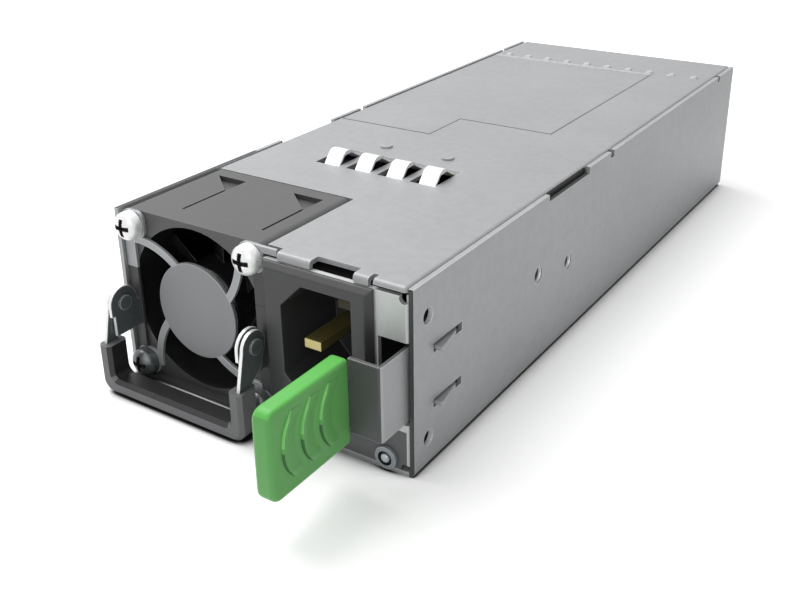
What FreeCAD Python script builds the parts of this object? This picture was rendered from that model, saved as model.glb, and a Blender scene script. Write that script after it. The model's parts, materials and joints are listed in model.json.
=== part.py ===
import FreeCAD, Part
import math
import os
from types import SimpleNamespace

import Sketcher

Vector = FreeCAD.Vector
Placement = FreeCAD.Placement
Rotation = FreeCAD.Rotation

# Driving dimensions in millimetres: name, value, meaning
DIMENSIONS = [
    ("case_width", 73.5, "outside width of the case"),
    ("case_length", 185, "length of the case from front panel to rear wall"),
    ("wall", 1.0, "thickness of the case sheet"),
    ("bend", 1.5, "outside radius of the folds of the tray"),
    ("seam", 0.35, "gap between the cover and the side walls"),
    ("cover_skirt", 6.5, "depth of the cover's folded edges"),
    ("fan_size", 38, "width and height of the fan frame, which sets the height of the case"),
    ("fan_depth", 28, "depth of the fan frame"),
    ("fan_recess", 1.6, "distance of the fan behind the front of the case"),
    ("fan_side_gap", 0.2, "gap between the fan and the left wall"),
    ("duct_rim", 1.1, "least wall of the fan frame round its duct"),
    ("fan_hole_inset", 3, "distance of the fan's screw holes from its sides"),
    ("fan_hole_radius", 1.45, "radius of the fan's screw holes"),
    ("motor_mount_radius", 8.6, "radius of the plate that carries the fan motor"),
    ("motor_mount_thickness", 2, "thickness of that plate and of its struts"),
    ("strut_width", 2, "width of the struts that hold the fan motor"),
    ("bearing_tube_radius", 3.2, "outside radius of the bearing tube"),
    ("bearing_radius", 2.5, "outside radius of the fan bearings"),
    ("bearing_length", 2.3, "length of each fan bearing"),
    ("shaft_radius", 1.0, "radius of the fan shaft"),
    ("shaft_fit", 0.03, "radial clearance between shaft and bearing"),
    ("hub_radius", 9.2, "outside radius of the fan hub"),
    ("hub_wall", 1.0, "wall of the fan hub"),
    ("hub_length", 19, "length of the fan hub"),
    ("hub_gap", 1.2, "distance from the front of the fan frame to the hub"),
    ("blade_count", 7, "number of fan blades"),
    ("blade_thickness", 0.8, "thickness of a fan blade"),
    ("blade_chord", 13, "length of a fan blade along the duct"),
    ("blade_tip_gap", 0.6, "gap between blade tips and duct"),
    ("blade_root_twist", 42, "angle of a blade at the hub, in degrees"),
    ("blade_tip_twist", 55, "angle of a blade at its tip, in degrees"),
    ("coil_radius", 6.4, "radius of the fan motor's coil core"),
    ("coil_length", 9, "length of the fan motor's coil core"),
    ("slit_width", 0.55, "width of the slits in the top of the fan frame"),
    ("slit_length", 13, "length of those slits"),
    ("slit_pitch", 21.3, "distance between the two slits"),
    ("slit_offset", 12.5, "distance of the first slit from the left side"),
    ("pocket_depth", 1.3, "depth of the three-cornered pockets in the fan frame"),
    ("guard_sheet", 0.8, "thickness of the finger guard"),
    ("guard_disc_radius", 10.5, "radius of the disc in the middle of the guard"),
    ("guard_tab", 7.4, "width of the guard's corner tabs"),
    ("guard_strip", 3, "width of the guard's side strips"),
    ("spoke_width", 1.7, "width of the guard's spokes"),
    ("ear_inset", 2, "distance of the guard's ears from the fan's sides"),
    ("ear_radius", 3.6, "radius of the rounded top of an ear"),
    ("ear_foot", 7, "distance from the pivot down to the end of an ear"),
    ("pivot_height", 19.4, "height of the handle's pivot"),
    ("pivot_reach", 3.2, "distance of the handle's pivot in front of the case"),
    ("pivot_radius", 1.0, "radius of the handle's pivot rivets"),
    ("pivot_fit", 0.05, "radial clearance of the handle on its rivets"),
    ("pivot_head_radius", 1.7, "radius of the heads of the pivot rivets"),
    ("pivot_head", 0.6, "thickness of those heads"),
    ("arm_gap", 0.25, "gap between an ear and the handle arm beside it"),
    ("arm_sheet", 0.8, "thickness of a handle arm"),
    ("arm_end_radius", 3.3, "radius of the rounded end of a handle arm"),
    ("arm_neck", 1.65, "distance of an arm's rear edge behind its pivot at the neck"),
    ("arm_neck_drop", 5.3, "distance of that neck below the pivot"),
    ("arm_tongue", 3.2, "width of the tongue of an arm inside the grip"),
    ("arm_tongue_depth", 6, "depth of that tongue in the grip"),
    ("grip_cheek", 0.85, "plastic of the grip beside each arm"),
    ("grip_bar", 3.4, "thickness of the bar and arms of the grip"),
    ("grip_depth", 5.4, "depth of the grip from front to back"),
    ("grip_height", 11, "height of the grip's arms"),
    ("grip_lift", 0.4, "height of the grip above the underside of the case"),
    ("grip_reach", 9.4, "distance of the front of the grip before the case"),
    ("screw_head_radius", 2.9, "radius of the fan screws' heads"),
    ("screw_head", 2.8, "height of the fan screws' heads"),
    ("screw_rim", 1.4, "height of the upright rim of those heads"),
    ("screw_crown", 1.9, "radius of the flat middle of those heads"),
    ("recess_reach", 1.6, "reach of the arms of the cross recess from its middle"),
    ("recess_width", 0.8, "width of the arms of the cross recess"),
    ("screw_length", 8, "length of the fan screws under the head"),
    ("screw_recess", 1.1, "depth of the cross recess in the fan screws"),
    ("inlet_side", 7.2, "distance from the bezel to the inside of the right wall"),
    ("inlet_top_gap", 1.8, "distance of the bezel's top below the top of the case"),
    ("inlet_base", 5.4, "height of the inlet's bezel above the underside"),
    ("inlet_gap", 0.9, "gap between the fan and the bezel"),
    ("inlet_proud", 1.6, "distance the bezel stands before the case"),
    ("inlet_bevel", 1.1, "width of the bevel round the bezel"),
    ("inlet_shrink", 1.2, "step from the bezel to the inlet's body"),
    ("inlet_depth", 23, "depth of the inlet's body behind the bezel"),
    ("socket_right", 4.2, "distance from the socket to the bezel's right side"),
    ("socket_above", 3.1, "distance from the socket to the bezel's top"),
    ("socket_corner", 5, "size of the socket's two sloping corners"),
    ("socket_depth", 17, "depth of the socket"),
    ("socket_left", 4.8, "distance from the bezel's left side to the socket"),
    ("socket_below", 4.1, "distance from the bezel's lower side to the socket"),
    ("contact_wide", 4, "width of the inlet's contact blades"),
    ("contact_thick", 2, "thickness of the inlet's contact blades"),
    ("contact_pitch", 14, "distance between the two outer contacts"),
    ("contact_stagger", 4, "offset of the middle contact from the outer ones"),
    ("contact_recess", 1.5, "distance of the middle contact's tip inside the socket"),
    ("contact_step", 5.5, "distance of the outer contacts' tips behind the middle one"),
    ("inlet_board_sheet", 1.6, "thickness of the board behind the inlet"),
    ("panel_return", 9, "depth of the front panel's folded side"),
    ("latch_sheet", 0.8, "thickness of the latch spring"),
    ("latch_gap", 0.4, "gap between the latch spring and the right wall"),
    ("latch_low", 12.0, "height of the latch spring's lower edge"),
    ("latch_high", 27.3, "height of the latch spring's upper edge"),
    ("latch_reach", 8.2, "distance the latch stands before the case"),
    ("latch_front", 7.0, "width of the latch's front face"),
    ("latch_bend_line", 46.2, "distance of the latch's bending line from the front"),
    ("latch_window_gap", 0.9, "room above and below the latch in the front panel"),
    ("tail_gap", 0.25, "kerf between the latch spring and its tail"),
    ("tail_end", 69.5, "distance of the tail's far end from the front"),
    ("tail_low", 15.0, "height of the tail's lower edge"),
    ("tail_high", 26.0, "height of the tail's upper edge"),
    ("barb_start", 7.1, "distance of the barbs' stop faces from the front"),
    ("barb_length", 9.4, "length of a barb"),
    ("barb_height", 1.5, "distance a barb stands out of the right wall"),
    ("barb_thick", 0.9, "thickness of a barb"),
    ("barb_run", 7, "distance from a barb's stop face to where its slope ends"),
    ("barb_low", 12.9, "height of the lower barb"),
    ("barb_high", 24.6, "height of the upper barb"),
    ("barb_room", 0.45, "room round a barb in its slot"),
    ("tab_thick", 4, "thickness of the release tab"),
    ("tab_length", 22, "length of the release tab"),
    ("tab_height", 17.6, "height of the release tab"),
    ("tab_base", 9.4, "height of the release tab above the underside"),
    ("tab_round", 1.5, "radius of the release tab's free corners"),
    ("tab_chamfer", 0.8, "size of the release tab's sloping rims"),
    ("tread_rise", 0.7, "height of the release tab's thumb treads"),
    ("tread_pitch", 5.1, "distance between the thumb treads"),
    ("tread_height", 12.4, "height of a thumb tread"),
    ("tread_start", 4.2, "distance of the first tread from the tab's free end"),
    ("side_hole_radius", 1.6, "radius of the holes in the right wall"),
    ("side_hole_inset", 4.8, "distance of the front side holes from the front"),
    ("side_hole_low", 6.5, "height of the lower front side hole"),
    ("side_hole_spacing", 25.5, "distance between the two front side holes"),
    ("finger_window_wide", 6.6, "width of a spring finger's window"),
    ("finger_window_long", 11.5, "length of a spring finger's window"),
    ("finger_start", 45, "distance of the finger windows from the front"),
    ("finger_left", 17.8, "distance of the first window from the left side"),
    ("finger_pitch", 8.6, "distance between spring fingers"),
    ("finger_width", 4.2, "width of a spring finger"),
    ("finger_rise", 2.75, "height of the fingers above the cover"),
    ("finger_sheet", 0.35, "thickness of the spring fingers"),
    ("finger_count", 4, "number of spring fingers"),
    ("strip_length", 9, "length of the strip behind the fingers"),
    ("lip_gap", 4.2, "distance of the cover's front lip from the fan"),
    ("lip_inset", 9.5, "distance of the lip from the right side"),
    ("lip_drop", 1.6, "height of the cover's front lip"),
    ("lip_round", 0.9, "outside radius of the lip's fold"),
    ("lip_notch", 1.1, "width of the notch beside the lip"),
    ("lip_notch_depth", 2.2, "length of the notches at both ends of the lip"),
    ("lip_slot_left", 7.6, "distance of the lip's slot from the lip's left end"),
    ("lip_slot_right", 3.2, "distance of the lip's slot from the lip's right end"),
    ("lip_slot_depth", 2.8, "length of that slot"),
    ("panel_step", 0.3, "depth of the stepped area of the cover"),
    ("dimple_count", 10, "number of dimples across the rear of the cover"),
    ("dimple_pitch", 6.85, "distance between the dimples"),
    ("dimple_radius", 1.5, "radius of a dimple"),
    ("dimple_crown", 0.8, "radius of a dimple's flat top"),
    ("dimple_depth", 0.45, "depth of a dimple"),
    ("board_thickness", 1.6, "thickness of the main circuit board"),
    ("board_lift", 3.5, "height of the board above the tray"),
    ("board_side_gap", 1.4, "gap between the board and the side walls"),
    ("tongue_width", 51, "width of the board's card edge"),
    ("tongue_reach", 9, "distance the card edge stands out at the rear"),
    ("pad_count", 25, "number of contact pads on each face of the card edge"),
    ("pad_pitch", 1.95, "distance between the contact pads"),
    ("pad_width", 1.4, "width of a contact pad"),
    ("pad_thickness", 0.05, "thickness of a contact pad"),
    ("sheet_thickness", 0.25, "thickness of the insulating sheet"),
    ("grille_inset", 0.4, "distance of the rear wall from the end of the case"),
    ("mesh_flats", 5.2, "width of a hexagonal vent hole"),
    ("mesh_pitch", 6.6, "distance between vent holes"),
    ("mesh_columns", 10, "vent holes in a row"),
    ("mesh_rows", 3, "rows of vent holes"),
    ("capacitor_headroom", 1.9, "room between the bulk capacitor and the cover"),
    ("capacitor_length", 45, "length of the bulk capacitor"),
    ("pfc_headroom", 2.5, "room between the power factor choke and the cover"),
    ("pfc_coil_radius", 4.7, "radius of its winding"),
    ("filter_gap", 6.9, "gap between the line filter choke and the bulk capacitor's side"),
    ("filter_coil_radius", 3.8, "radius of its winding"),
    ("core_width", 33, "width of the transformer's core"),
    ("core_headroom", 4.9, "room between the transformer and the cover"),
    ("core_depth", 22, "depth of the transformer's core"),
    ("core_leg", 5.5, "width of the legs of that core"),
        ("sink_headroom", 0.9, "room between the heat sinks and the cover"),
    ("latch_rivet_first", 49.7, "distance of the first latch rivet from the front"),
    ("latch_rivet_first_height", 21.9, "height of the first latch rivet"),
    ("latch_rivet_second", 65.1, "distance of the second latch rivet from the front"),
    ("latch_rivet_second_height", 19.1, "height of the second latch rivet"),
    ("latch_rivet_head", 1.9, "radius of the latch rivets' heads"),
    ("latch_rivet_rise", 0.7, "height of those heads in the wall's holes"),
    ("latch_rivet_shank", 1.2, "radius of the latch rivets' shanks"),
    ("edge_slot_start", 53.5, "distance of the slot in the walls' upper edges from the front"),
    ("edge_slot_length", 21.2, "length of that slot"),
    ("edge_slot_depth", 1.5, "depth of the slot and of the notches"),
    ("edge_notch_first", 87, "distance of the first edge notch from the front"),
    ("edge_notch_second", 15.5, "distance of the second edge notch from the rear"),
    ("edge_notch", 2.2, "length of an edge notch"),
    ("skirt_start", 10, "distance of the cover's skirts from the front"),
    ("cover_fold", 0.9, "outside radius of the cover's folds"),
    ("cut_out_gap", 0.4, "room round the fan in the cover"),
    ("step_first", 76.5, "distance of the stepped area's front edge"),
    ("step_tab", 29.5, "width of the stepped area's narrow part"),
    ("step_second", 92, "distance of its second front edge"),
    ("step_width", 55.5, "width of the stepped area"),
    ("step_end", 22, "distance of the stepped area from the rear"),
    ("strip_rivet_offset", 6.2, "distance of the strip's rivets behind the windows"),
    ("strip_rivet_shift", 0.6, "sideways shift of the strip's rivets"),
    ("small_rivet_radius", 0.8, "radius of the strip's rivets"),
    ("small_rivet_head", 1.5, "radius of the heads of the strip's rivets"),
    ("small_rivet_foot", 0.5, "thickness of those heads"),
    ("dimple_row", 20.2, "distance of the row of dimples from the rear"),
    ("finger_brow", 0.6, "rise of a finger's round crest"),
    ("finger_crest_front", 2.6, "distance of the crest behind the window's front"),
    ("finger_crest_length", 3.2, "length of the crest"),
    ("finger_side", 2.2, "distance of a finger from its window's left side"),
    ("panel_fold", 0.95, "outside radius of the front panel's fold"),
    ("flange_screw_inset", 6.1, "distance of the lower front screw from the right side"),
    ("flange_screw_z", 2.9, "height of the lower front screw"),
    ("flange_screw_radius", 1.25, "radius of its shank"),
    ("flange_screw_head_radius", 2.4, "radius of its head"),
    ("flange_screw_head", 1.2, "height of its head"),
    ("flange_screw_length", 1, "length of its shank"),
    ("latch_window_edge", 0.6, "distance of the latch's window from the inlet's bezel"),
    ("relief_radius", 1.0, "radius of the relief holes at the panel's fold"),
    ("fan_corner", 2, "radius of the fan frame's corners"),
    ("fan_flange", 4, "thickness of the fan frame's flanges"),
    ("fan_waist", 0.6, "depth of the waist in the fan frame's sides"),
    ("fan_tube_start", 9, "distance of the bearing tube from the fan's front"),
    ("slit_start", 5.4, "distance of the slits behind the fan's front"),
    ("slit_depth", 1.0, "depth of the slits"),
    ("slope_width", 8, "width of the three-cornered pockets"),
    ("slope_length", 6.8, "length of the three-cornered pockets"),
    ("hub_nose", 1.2, "rounding of the hub's front edge"),
    ("blade_root_camber", 1.5, "camber of a blade at the hub"),
    ("blade_tip_camber", 1.0, "camber of a blade at its tip"),
    ("hub_boss_radius", 2.4, "radius of the boss that holds the shaft"),
    ("hub_boss_length", 4, "length of that boss with the hub's front"),
    ("magnet_length", 11, "length of the rotor's magnet"),
    ("magnet_thickness", 1.2, "wall of the rotor's magnet"),
    ("ear_step", 2.4, "distance from the pivot down to the step in the ear"),
    ("guard_run", 3.4, "length of the guard's run over the inlet"),
    ("screw_play", 0.05, "radial clearance of the fan screws"),
    ("grip_corner", 3, "radius of the grip's outer corners"),
    ("grip_round", 0.8, "radius of the grip's rims"),
    ("tang_height", 10, "height of the latch's tang in the tab"),
    ("tang_length", 16, "length of the latch's tang in the tab"),
    ("tread_bow", 1.9, "bow of a thumb tread"),
    ("tread_width", 1.6, "width of a thumb tread"),
    ("card_gap", 0.5, "room round the card edge in the rear wall"),
    ("board_start", 34, "distance of the main board from the front"),
    ("post_inset", 4, "distance of the standoffs from the board's edges"),
    ("post_middle", 70, "distance of the middle standoffs from the board's front"),
    ("post_radius", 2.5, "radius of the standoffs"),
    ("board_screw_radius", 1.25, "radius of the board's screws"),
    ("pad_length", 6, "length of a contact pad"),
    ("filter_side", 8.1, "gap between the line filter choke and the right wall"),
    ("filter_y", 45, "distance of the line filter choke from the front"),
    ("capacitor_side", 3.7, "gap between the bulk capacitor and the left wall"),
    ("capacitor_start", 45, "distance of the bulk capacitor from the front"),
    ("pfc_y", 99, "distance of the power factor choke from the front"),
    ("sink_x", 43, "distance of the heat sinks from the left side"),
    ("sink_start", 82, "distance of the primary heat sink from the front"),
    ("sink_lift", 3, "height of the heat sinks above the board"),
    ("sink_plate", 2.5, "thickness of a heat sink's plate"),
    ("sink_spacing", 4, "gap between the two heat sinks"),
    ("fin_thickness", 1.2, "thickness of a fin"),
    ("fin_room", 4, "room between the fins and the control board"),
    ("sink_foot", 3.6, "length of a heat sink's feet"),
    ("fin_spacing", 4.9, "distance between the fins"),
    ("second_sink_length", 15, "length of the secondary heat sink"),
    ("device_lift", 5, "height of the devices above the board"),
    ("device_inset", 2, "gap between devices on the heat sink"),
    ("device_thickness", 4.4, "thickness of the devices on the heat sink"),
    ("device_height", 16, "height of those devices"),
    ("bridge_width", 16, "width of the bridge rectifier"),
    ("transistor_pitch", 12.5, "distance between the power transistors"),
    ("transistor_width", 10, "width of a power transistor"),
    ("transformer_x", 3.4, "distance of the transformer from the left side"),
    ("transformer_y", 112, "distance of the transformer from the front"),
    ("can_columns", 6, "output capacitors in a row"),
    ("can_rows", 1, "rows of output capacitors"),
    ("can_x", 10, "distance of the first output capacitor from the left side"),
    ("can_y", 20, "distance of the first output capacitors from the rear"),
    ("can_pitch", 10.4, "distance between the output capacitors"),
    ("can_radius", 4, "radius of an output capacitor"),
    ("can_height", 16, "height of an output capacitor"),
    ("busbar_spacing", 26, "distance between the output bars"),
    ("busbar_width", 14, "width of an output bar"),
    ("busbar_sheet", 1.5, "thickness of an output bar"),
    ("busbar_height", 11, "height of an output bar's upright end"),
    ("busbar_length", 7, "length of an output bar"),
    ("busbar_y", 13, "distance of the output bars from the rear"),
    ("control_side", 9.8, "gap between the control board and the right wall"),
    ("control_y", 96, "distance of the control board from the front"),
    ("control_sheet", 1.2, "thickness of the control board"),
    ("control_length", 46, "length of the control board"),
    ("control_height", 24, "height of the control board"),
    ("plug_length", 6, "length of the fan's connector"),
    ("plug_width", 4.5, "width of the fan's connector"),
    ("plug_height", 6, "height of the fan's connector"),
    ("plug_inset", 2, "distance of the fan's connector from the board's front"),
    ("wire_radius", 0.6, "radius of the wires"),
    ("wire_inset", 1.7, "distance of the first fan wire from the fan's side"),
    ("lead_rise", 10, "height of the fan's wires above its axis"),
    ("wire_pitch", 2, "distance between the fan wires"),
    ("supply_inset", 3, "distance of the first supply wire from the inlet's side"),
    ("supply_pitch", 6, "distance between the supply wires"),
    ("supply_height", 30, "height of the supply wires"),
    ("supply_reach", 2, "distance of the supply wires from the board's front"),
    ("over", 1, "how far a cutting shape reaches past the face that it cuts"),
    ("fuse_side", 10.5, "gap between the fuse and the right wall"),
    ("fuse_y", 60, "distance of the fuse from the front"),
    ("fuse_gap", 7.3, "gap between the fuse and the bulk capacitor's side"),
    ("fuse_length", 6, "depth of the fuse"),
    ("fuse_height", 7, "height of the fuse"),
    ("film_side", 10.5, "gap between the film capacitor and the right wall"),
    ("film_y", 50, "distance of the film capacitor from the front"),
    ("film_gap", 5.3, "gap between the film capacitor and the bulk capacitor's side"),
    ("film_length", 8, "depth of the film capacitor"),
    ("film_height", 15, "height of the film capacitor"),
    ("relay_side", 11.5, "gap between the relay and the right wall"),
    ("relay_y", 69, "distance of the relay from the front"),
    ("relay_gap", 7.3, "gap between the relay and the bulk capacitor's side"),
    ("relay_length", 10, "depth of the relay"),
    ("relay_height", 15, "height of the relay"),
]

doc = FreeCAD.newDocument("hot_swap_power_supply")
sheet = doc.addObject("Spreadsheet::Sheet", "Sizes")


class Size:
    """A dimension: its value now, and the sheet formula that gives it."""

    def __init__(self, value, formula):
        self.value = float(value)
        self.formula = formula

    def __add__(self, other):
        other = as_size(other)
        return Size(self.value + other.value, "(" + self.formula + " + " + other.formula + ")")

    def __sub__(self, other):
        other = as_size(other)
        return Size(self.value - other.value, "(" + self.formula + " - " + other.formula + ")")

    def __mul__(self, other):
        other = as_size(other)
        return Size(self.value * other.value, "(" + self.formula + " * " + other.formula + ")")

    def __truediv__(self, other):
        other = as_size(other)
        return Size(self.value / other.value, "(" + self.formula + " / " + other.formula + ")")

    def __radd__(self, other):
        return as_size(other) + self

    def __rsub__(self, other):
        return as_size(other) - self

    def __rmul__(self, other):
        return as_size(other) * self

    def __neg__(self):
        return as_size(0) - self


def as_size(number):
    if isinstance(number, Size):
        return number
    return Size(number, "(" + repr(float(number)) + ")")


d = SimpleNamespace()
for row, (name, value, meaning) in enumerate(DIMENSIONS, start=1):
    sheet.set("A" + str(row), meaning)
    sheet.set("B" + str(row), str(value))
    sheet.setAlias("B" + str(row), name)
    setattr(d, name, Size(value, "Sizes." + name))
doc.recompute()

AXIS_TURN = {
    "X": Rotation(Vector(0, 1, 0), 90),
    "Y": Rotation(Vector(1, 0, 0), -90),
    "Z": Rotation(),
}
NODES = []


def bind(thing, prop, size):
    thing.setExpression(prop, as_size(size).formula)


def place(thing, point, rotation=None):
    """Put a thing's own origin at a point of the part's frame."""
    thing.Placement = Placement(Vector(*[as_size(v).value for v in point]), rotation or Rotation())
    for letter, size in zip("xyz", point):
        bind(thing, "Placement.Base." + letter, size)
    return thing


def keep(thing, label):
    """Name a finished piece, so that it is written to a file of its own."""
    thing.Label = label
    NODES.append(thing)
    return thing


def box(name, low, high):
    """A block between two opposite corners."""
    block = doc.addObject("Part::Box", name)
    for prop, start, end in zip(("Length", "Width", "Height"), low, high):
        bind(block, prop, as_size(end) - start)
    return place(block, low)


def rod(name, axis, start, radius, length):
    """A round bar along an axis, from its starting point."""
    bar = doc.addObject("Part::Cylinder", name)
    bind(bar, "Radius", radius)
    bind(bar, "Height", length)
    return place(bar, start, AXIS_TURN[axis])


def prism(name, axis, start, radius, length, sides=8):
    """A bar with flat sides along an axis, from its starting point."""
    bar = doc.addObject("Part::Prism", name)
    bar.Polygon = sides
    bind(bar, "Circumradius", radius)
    bind(bar, "Height", length)
    return place(bar, start, AXIS_TURN[axis])


def fuse(name, parts):
    joined = doc.addObject("Part::MultiFuse", name)
    joined.Shapes = parts
    return joined


def cut(name, base, tools):
    result = doc.addObject("Part::Cut", name)
    result.Base = base
    result.Tool = tools[0] if len(tools) == 1 else fuse(name + "_tools", tools)
    return result


def wound_ring(name, centre, ring_radius, coil_radius):
    """A wound ring core that stands on its edge, with its axis along Y."""
    start = (centre[0], centre[1] - coil_radius, centre[2])
    outer = prism(name + "_outside", "Y", start, ring_radius + coil_radius, coil_radius * 2, 16)
    inner = prism(name + "_inside", "Y", (start[0], start[1] - d.over, start[2]),
                  ring_radius - coil_radius, coil_radius * 2 + d.over * 2, 16)
    return cut(name, outer, [inner])


def group(name, parts):
    """Several separate solids that share one node."""
    whole = doc.addObject("Part::Compound", name)
    whole.Links = parts
    return whole


def new_body(name, origin=(0, 0, 0), rotation=None):
    body = doc.addObject("PartDesign::Body", name)
    return place(body, origin, rotation)


def sketch_on(body, plane, name, offset=0, tilt=None):
    """A sketch on one of the body's own planes, moved along the plane's normal."""
    sketch = body.newObject("Sketcher::SketchObject", name)
    support = [item for item in body.Origin.OriginFeatures if item.Role == plane][0]
    sketch.AttachmentSupport = [(support, "")]
    sketch.MapMode = "FlatFace"
    if tilt:
        sketch.AttachmentOffset = Placement(Vector(), tilt)
    bind(sketch, "AttachmentOffset.Base.z", offset)
    return sketch


def fix_point(sketch, edge, end, x, y):
    """Dimension a point of the sketch from its origin."""
    for kind, size in (("DistanceX", x), ("DistanceY", y)):
        size = as_size(size)
        number = sketch.addConstraint(Sketcher.Constraint(kind, -1, 1, edge, end, size.value))
        bind(sketch, "Constraints[" + str(number) + "]", size)


def outline(sketch, points, arcs=None):
    """A closed outline. arcs gives, for an edge that is round, its middle point and radius."""
    arcs = arcs or {}
    first = len(sketch.Geometry)
    corners = [Vector(as_size(x).value, as_size(y).value, 0) for x, y in points]
    count = len(corners)
    ends = []
    for i, start in enumerate(corners):
        end = corners[(i + 1) % count]
        if i in arcs:
            middle = Vector(as_size(arcs[i][0]).value, as_size(arcs[i][1]).value, 0)
            number = sketch.addGeometry(Part.Arc(start, middle, end), False)
            forward = sketch.getPoint(number, 1).distanceToPoint(start) < 1e-6
            ends.append((1, 2) if forward else (2, 1))
        else:
            sketch.addGeometry(Part.LineSegment(start, end), False)
            ends.append((1, 2))
    for i, (x, y) in enumerate(points):
        following = (i + 1) % count
        sketch.addConstraint(Sketcher.Constraint(
            "Coincident", first + i, ends[i][1], first + following, ends[following][0]))
        fix_point(sketch, first + i, ends[i][0], x, y)
    for i, (_, _, radius) in arcs.items():
        start, end = points[i], points[(i + 1) % count]
        kind, size, where = "Radius", as_size(radius), (first + i,)
        if abs((corners[(i + 1) % count] - corners[i]).Length / 2 - size.value) < 1e-6:
            # Half a circle on a level chord is held by the height of its centre
            kind, size, where = "DistanceY", (as_size(start[1]) + end[1]) / 2, (-1, 1, first + i, 3)
        number = sketch.addConstraint(Sketcher.Constraint(kind, *where, size.value))
        bind(sketch, "Constraints[" + str(number) + "]", size)
    return sketch


def rectangle(sketch, low, high):
    return outline(sketch, [low, (high[0], low[1]), high, (low[0], high[1])])


def circle(sketch, x, y, radius):
    centre = Vector(as_size(x).value, as_size(y).value, 0)
    number = sketch.addGeometry(Part.Circle(centre, Vector(0, 0, 1), as_size(radius).value), False)
    fix_point(sketch, number, 3, x, y)
    number = sketch.addConstraint(Sketcher.Constraint("Radius", number, as_size(radius).value))
    bind(sketch, "Constraints[" + str(number) + "]", radius)
    return sketch


def polygon(sketch, x, y, radius, sides=8):
    """A hole with flat sides, its first corner on the X side, as a prism has."""
    corners = []
    for number in range(sides):
        turn = Size(360 * number / sides, str(360 * number / sides))
        corners.append((x + cosine(turn) * radius, y + sine(turn) * radius))
    return outline(sketch, corners)


def solid_feature(body, kind, name, sketch, length, reverse, both_ways):
    feature = body.newObject(kind, name)
    feature.Profile = sketch
    bind(feature, "Length", length)
    feature.Reversed = reverse
    if both_ways:
        feature.SideType = "Symmetric"
    sketch.Visibility = False
    return feature


def pad(body, name, sketch, length, reverse=False, both_ways=False):
    return solid_feature(body, "PartDesign::Pad", name, sketch, length, reverse, both_ways)


def pocket(body, name, sketch, length, reverse=False, both_ways=False):
    return solid_feature(body, "PartDesign::Pocket", name, sketch, length, reverse, both_ways)


def pattern(body, name, originals, plane_axis, step, count, second=None):
    """Copies in a row, or in rows where a second axis, step and count are given."""
    feature = body.newObject("PartDesign::LinearPattern", name)
    feature.Originals = originals
    axes = {item.Role: item for item in body.Origin.OriginFeatures}
    feature.Direction = (axes[plane_axis], [""])
    feature.Mode = "Spacing"
    bind(feature, "Offset", step)
    bind(feature, "Occurrences", count)
    if second:
        feature.Direction2 = (axes[second[0]], [""])
        feature.Mode2 = "Spacing"
        bind(feature, "Offset2", second[1])
        bind(feature, "Occurrences2", second[2])
    body.Tip = feature
    return feature


def polar(body, name, originals, count):
    """Copies round the body's own Y axis."""
    feature = body.newObject("PartDesign::PolarPattern", name)
    feature.Originals = originals
    axis = [item for item in body.Origin.OriginFeatures if item.Role == "Y_Axis"][0]
    feature.Axis = (axis, [""])
    feature.Angle = 360
    bind(feature, "Occurrences", count)
    body.Tip = feature
    return feature


def mirrored(body, name, originals, plane):
    feature = body.newObject("PartDesign::Mirrored", name)
    feature.Originals = originals
    support = [item for item in body.Origin.OriginFeatures if item.Role == plane][0]
    feature.MirrorPlane = (support, [""])
    body.Tip = feature
    return feature


def edges_where(shape, axis=None, **place_at):
    """Names of the straight edges along an axis whose middles have the given coordinates."""
    names = []
    for number, edge in enumerate(shape.Edges, start=1):
        if axis:
            if edge.Curve.TypeId != "Part::GeomLine":
                continue
            along = edge.tangentAt(edge.FirstParameter)
            if abs(getattr(along, axis)) < 0.999:
                continue
        middle = edge.BoundBox.Center
        if all(abs(getattr(middle, key) - as_size(v).value) < 0.01 for key, v in place_at.items()):
            names.append("Edge" + str(number))
    return names


def round_edges(body, name, radius, names, kind="PartDesign::Fillet"):
    feature = body.newObject(kind, name)
    feature.Base = (feature.BaseFeature, names)
    bind(feature, "Radius" if kind.endswith("Fillet") else "Size", radius)
    return feature


def tip_shape(body):
    doc.recompute()
    return body.Tip.Shape


# Planes and centres that several pieces share
left = -d.case_width / 2
right = d.case_width / 2
front = -d.case_length / 2
rear = d.case_length / 2
top = d.wall + d.fan_size
left_inside = left + d.wall
right_inside = right - d.wall
fan_left = left_inside + d.fan_side_gap
fan_x = fan_left + d.fan_size / 2
fan_right = fan_left + d.fan_size
fan_z = d.wall + d.fan_size / 2
half_fan = d.fan_size / 2
duct_radius = half_fan - d.duct_rim
half_holes = half_fan - d.fan_hole_inset
ear_distance = half_fan - d.ear_inset
fan_front = front + d.fan_recess
fan_back = fan_front + d.fan_depth
board_low = d.wall + d.board_lift
board_high = board_low + d.board_thickness
under = top - d.wall
lip_left = fan_right + d.lip_gap
lip_right = right - d.lip_inset
latch_outer = right_inside - d.latch_gap
latch_inner = latch_outer - d.latch_sheet


def along_x(body, name, start):
    """A sketch across X, drawn in Y and Z, at a distance along X."""
    return sketch_on(body, "YZ_Plane", name, start)


def along_y(body, name, start):
    """A sketch across Y, drawn in X and Z, at a distance along Y."""
    return sketch_on(body, "XZ_Plane", name, -as_size(start))


def along_z(body, name, start):
    """A sketch across Z, drawn in X and Y, at a distance along Z."""
    return sketch_on(body, "XY_Plane", name, start)


def crown(body, name, across, levels, centre, radii, sides):
    """A many sided cap whose radius changes from one level to the next."""
    sections = []
    for level, radius in zip(levels, radii):
        sketch = across(body, name + "_section_" + str(len(sections)), level)
        sections.append(polygon(sketch, *centre, radius, sides))
    cap = body.newObject("PartDesign::AdditiveLoft", name)
    cap.Profile = sections[0]
    cap.Sections = [sections[1]]
    cap.Ruled = True
    for section in sections:
        section.Visibility = False
    return cap


def sine(angle):
    return Size(math.sin(math.radians(angle.value)), "sin(" + angle.formula + ")")


def cosine(angle):
    return Size(math.cos(math.radians(angle.value)), "cos(" + angle.formula + ")")


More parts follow.
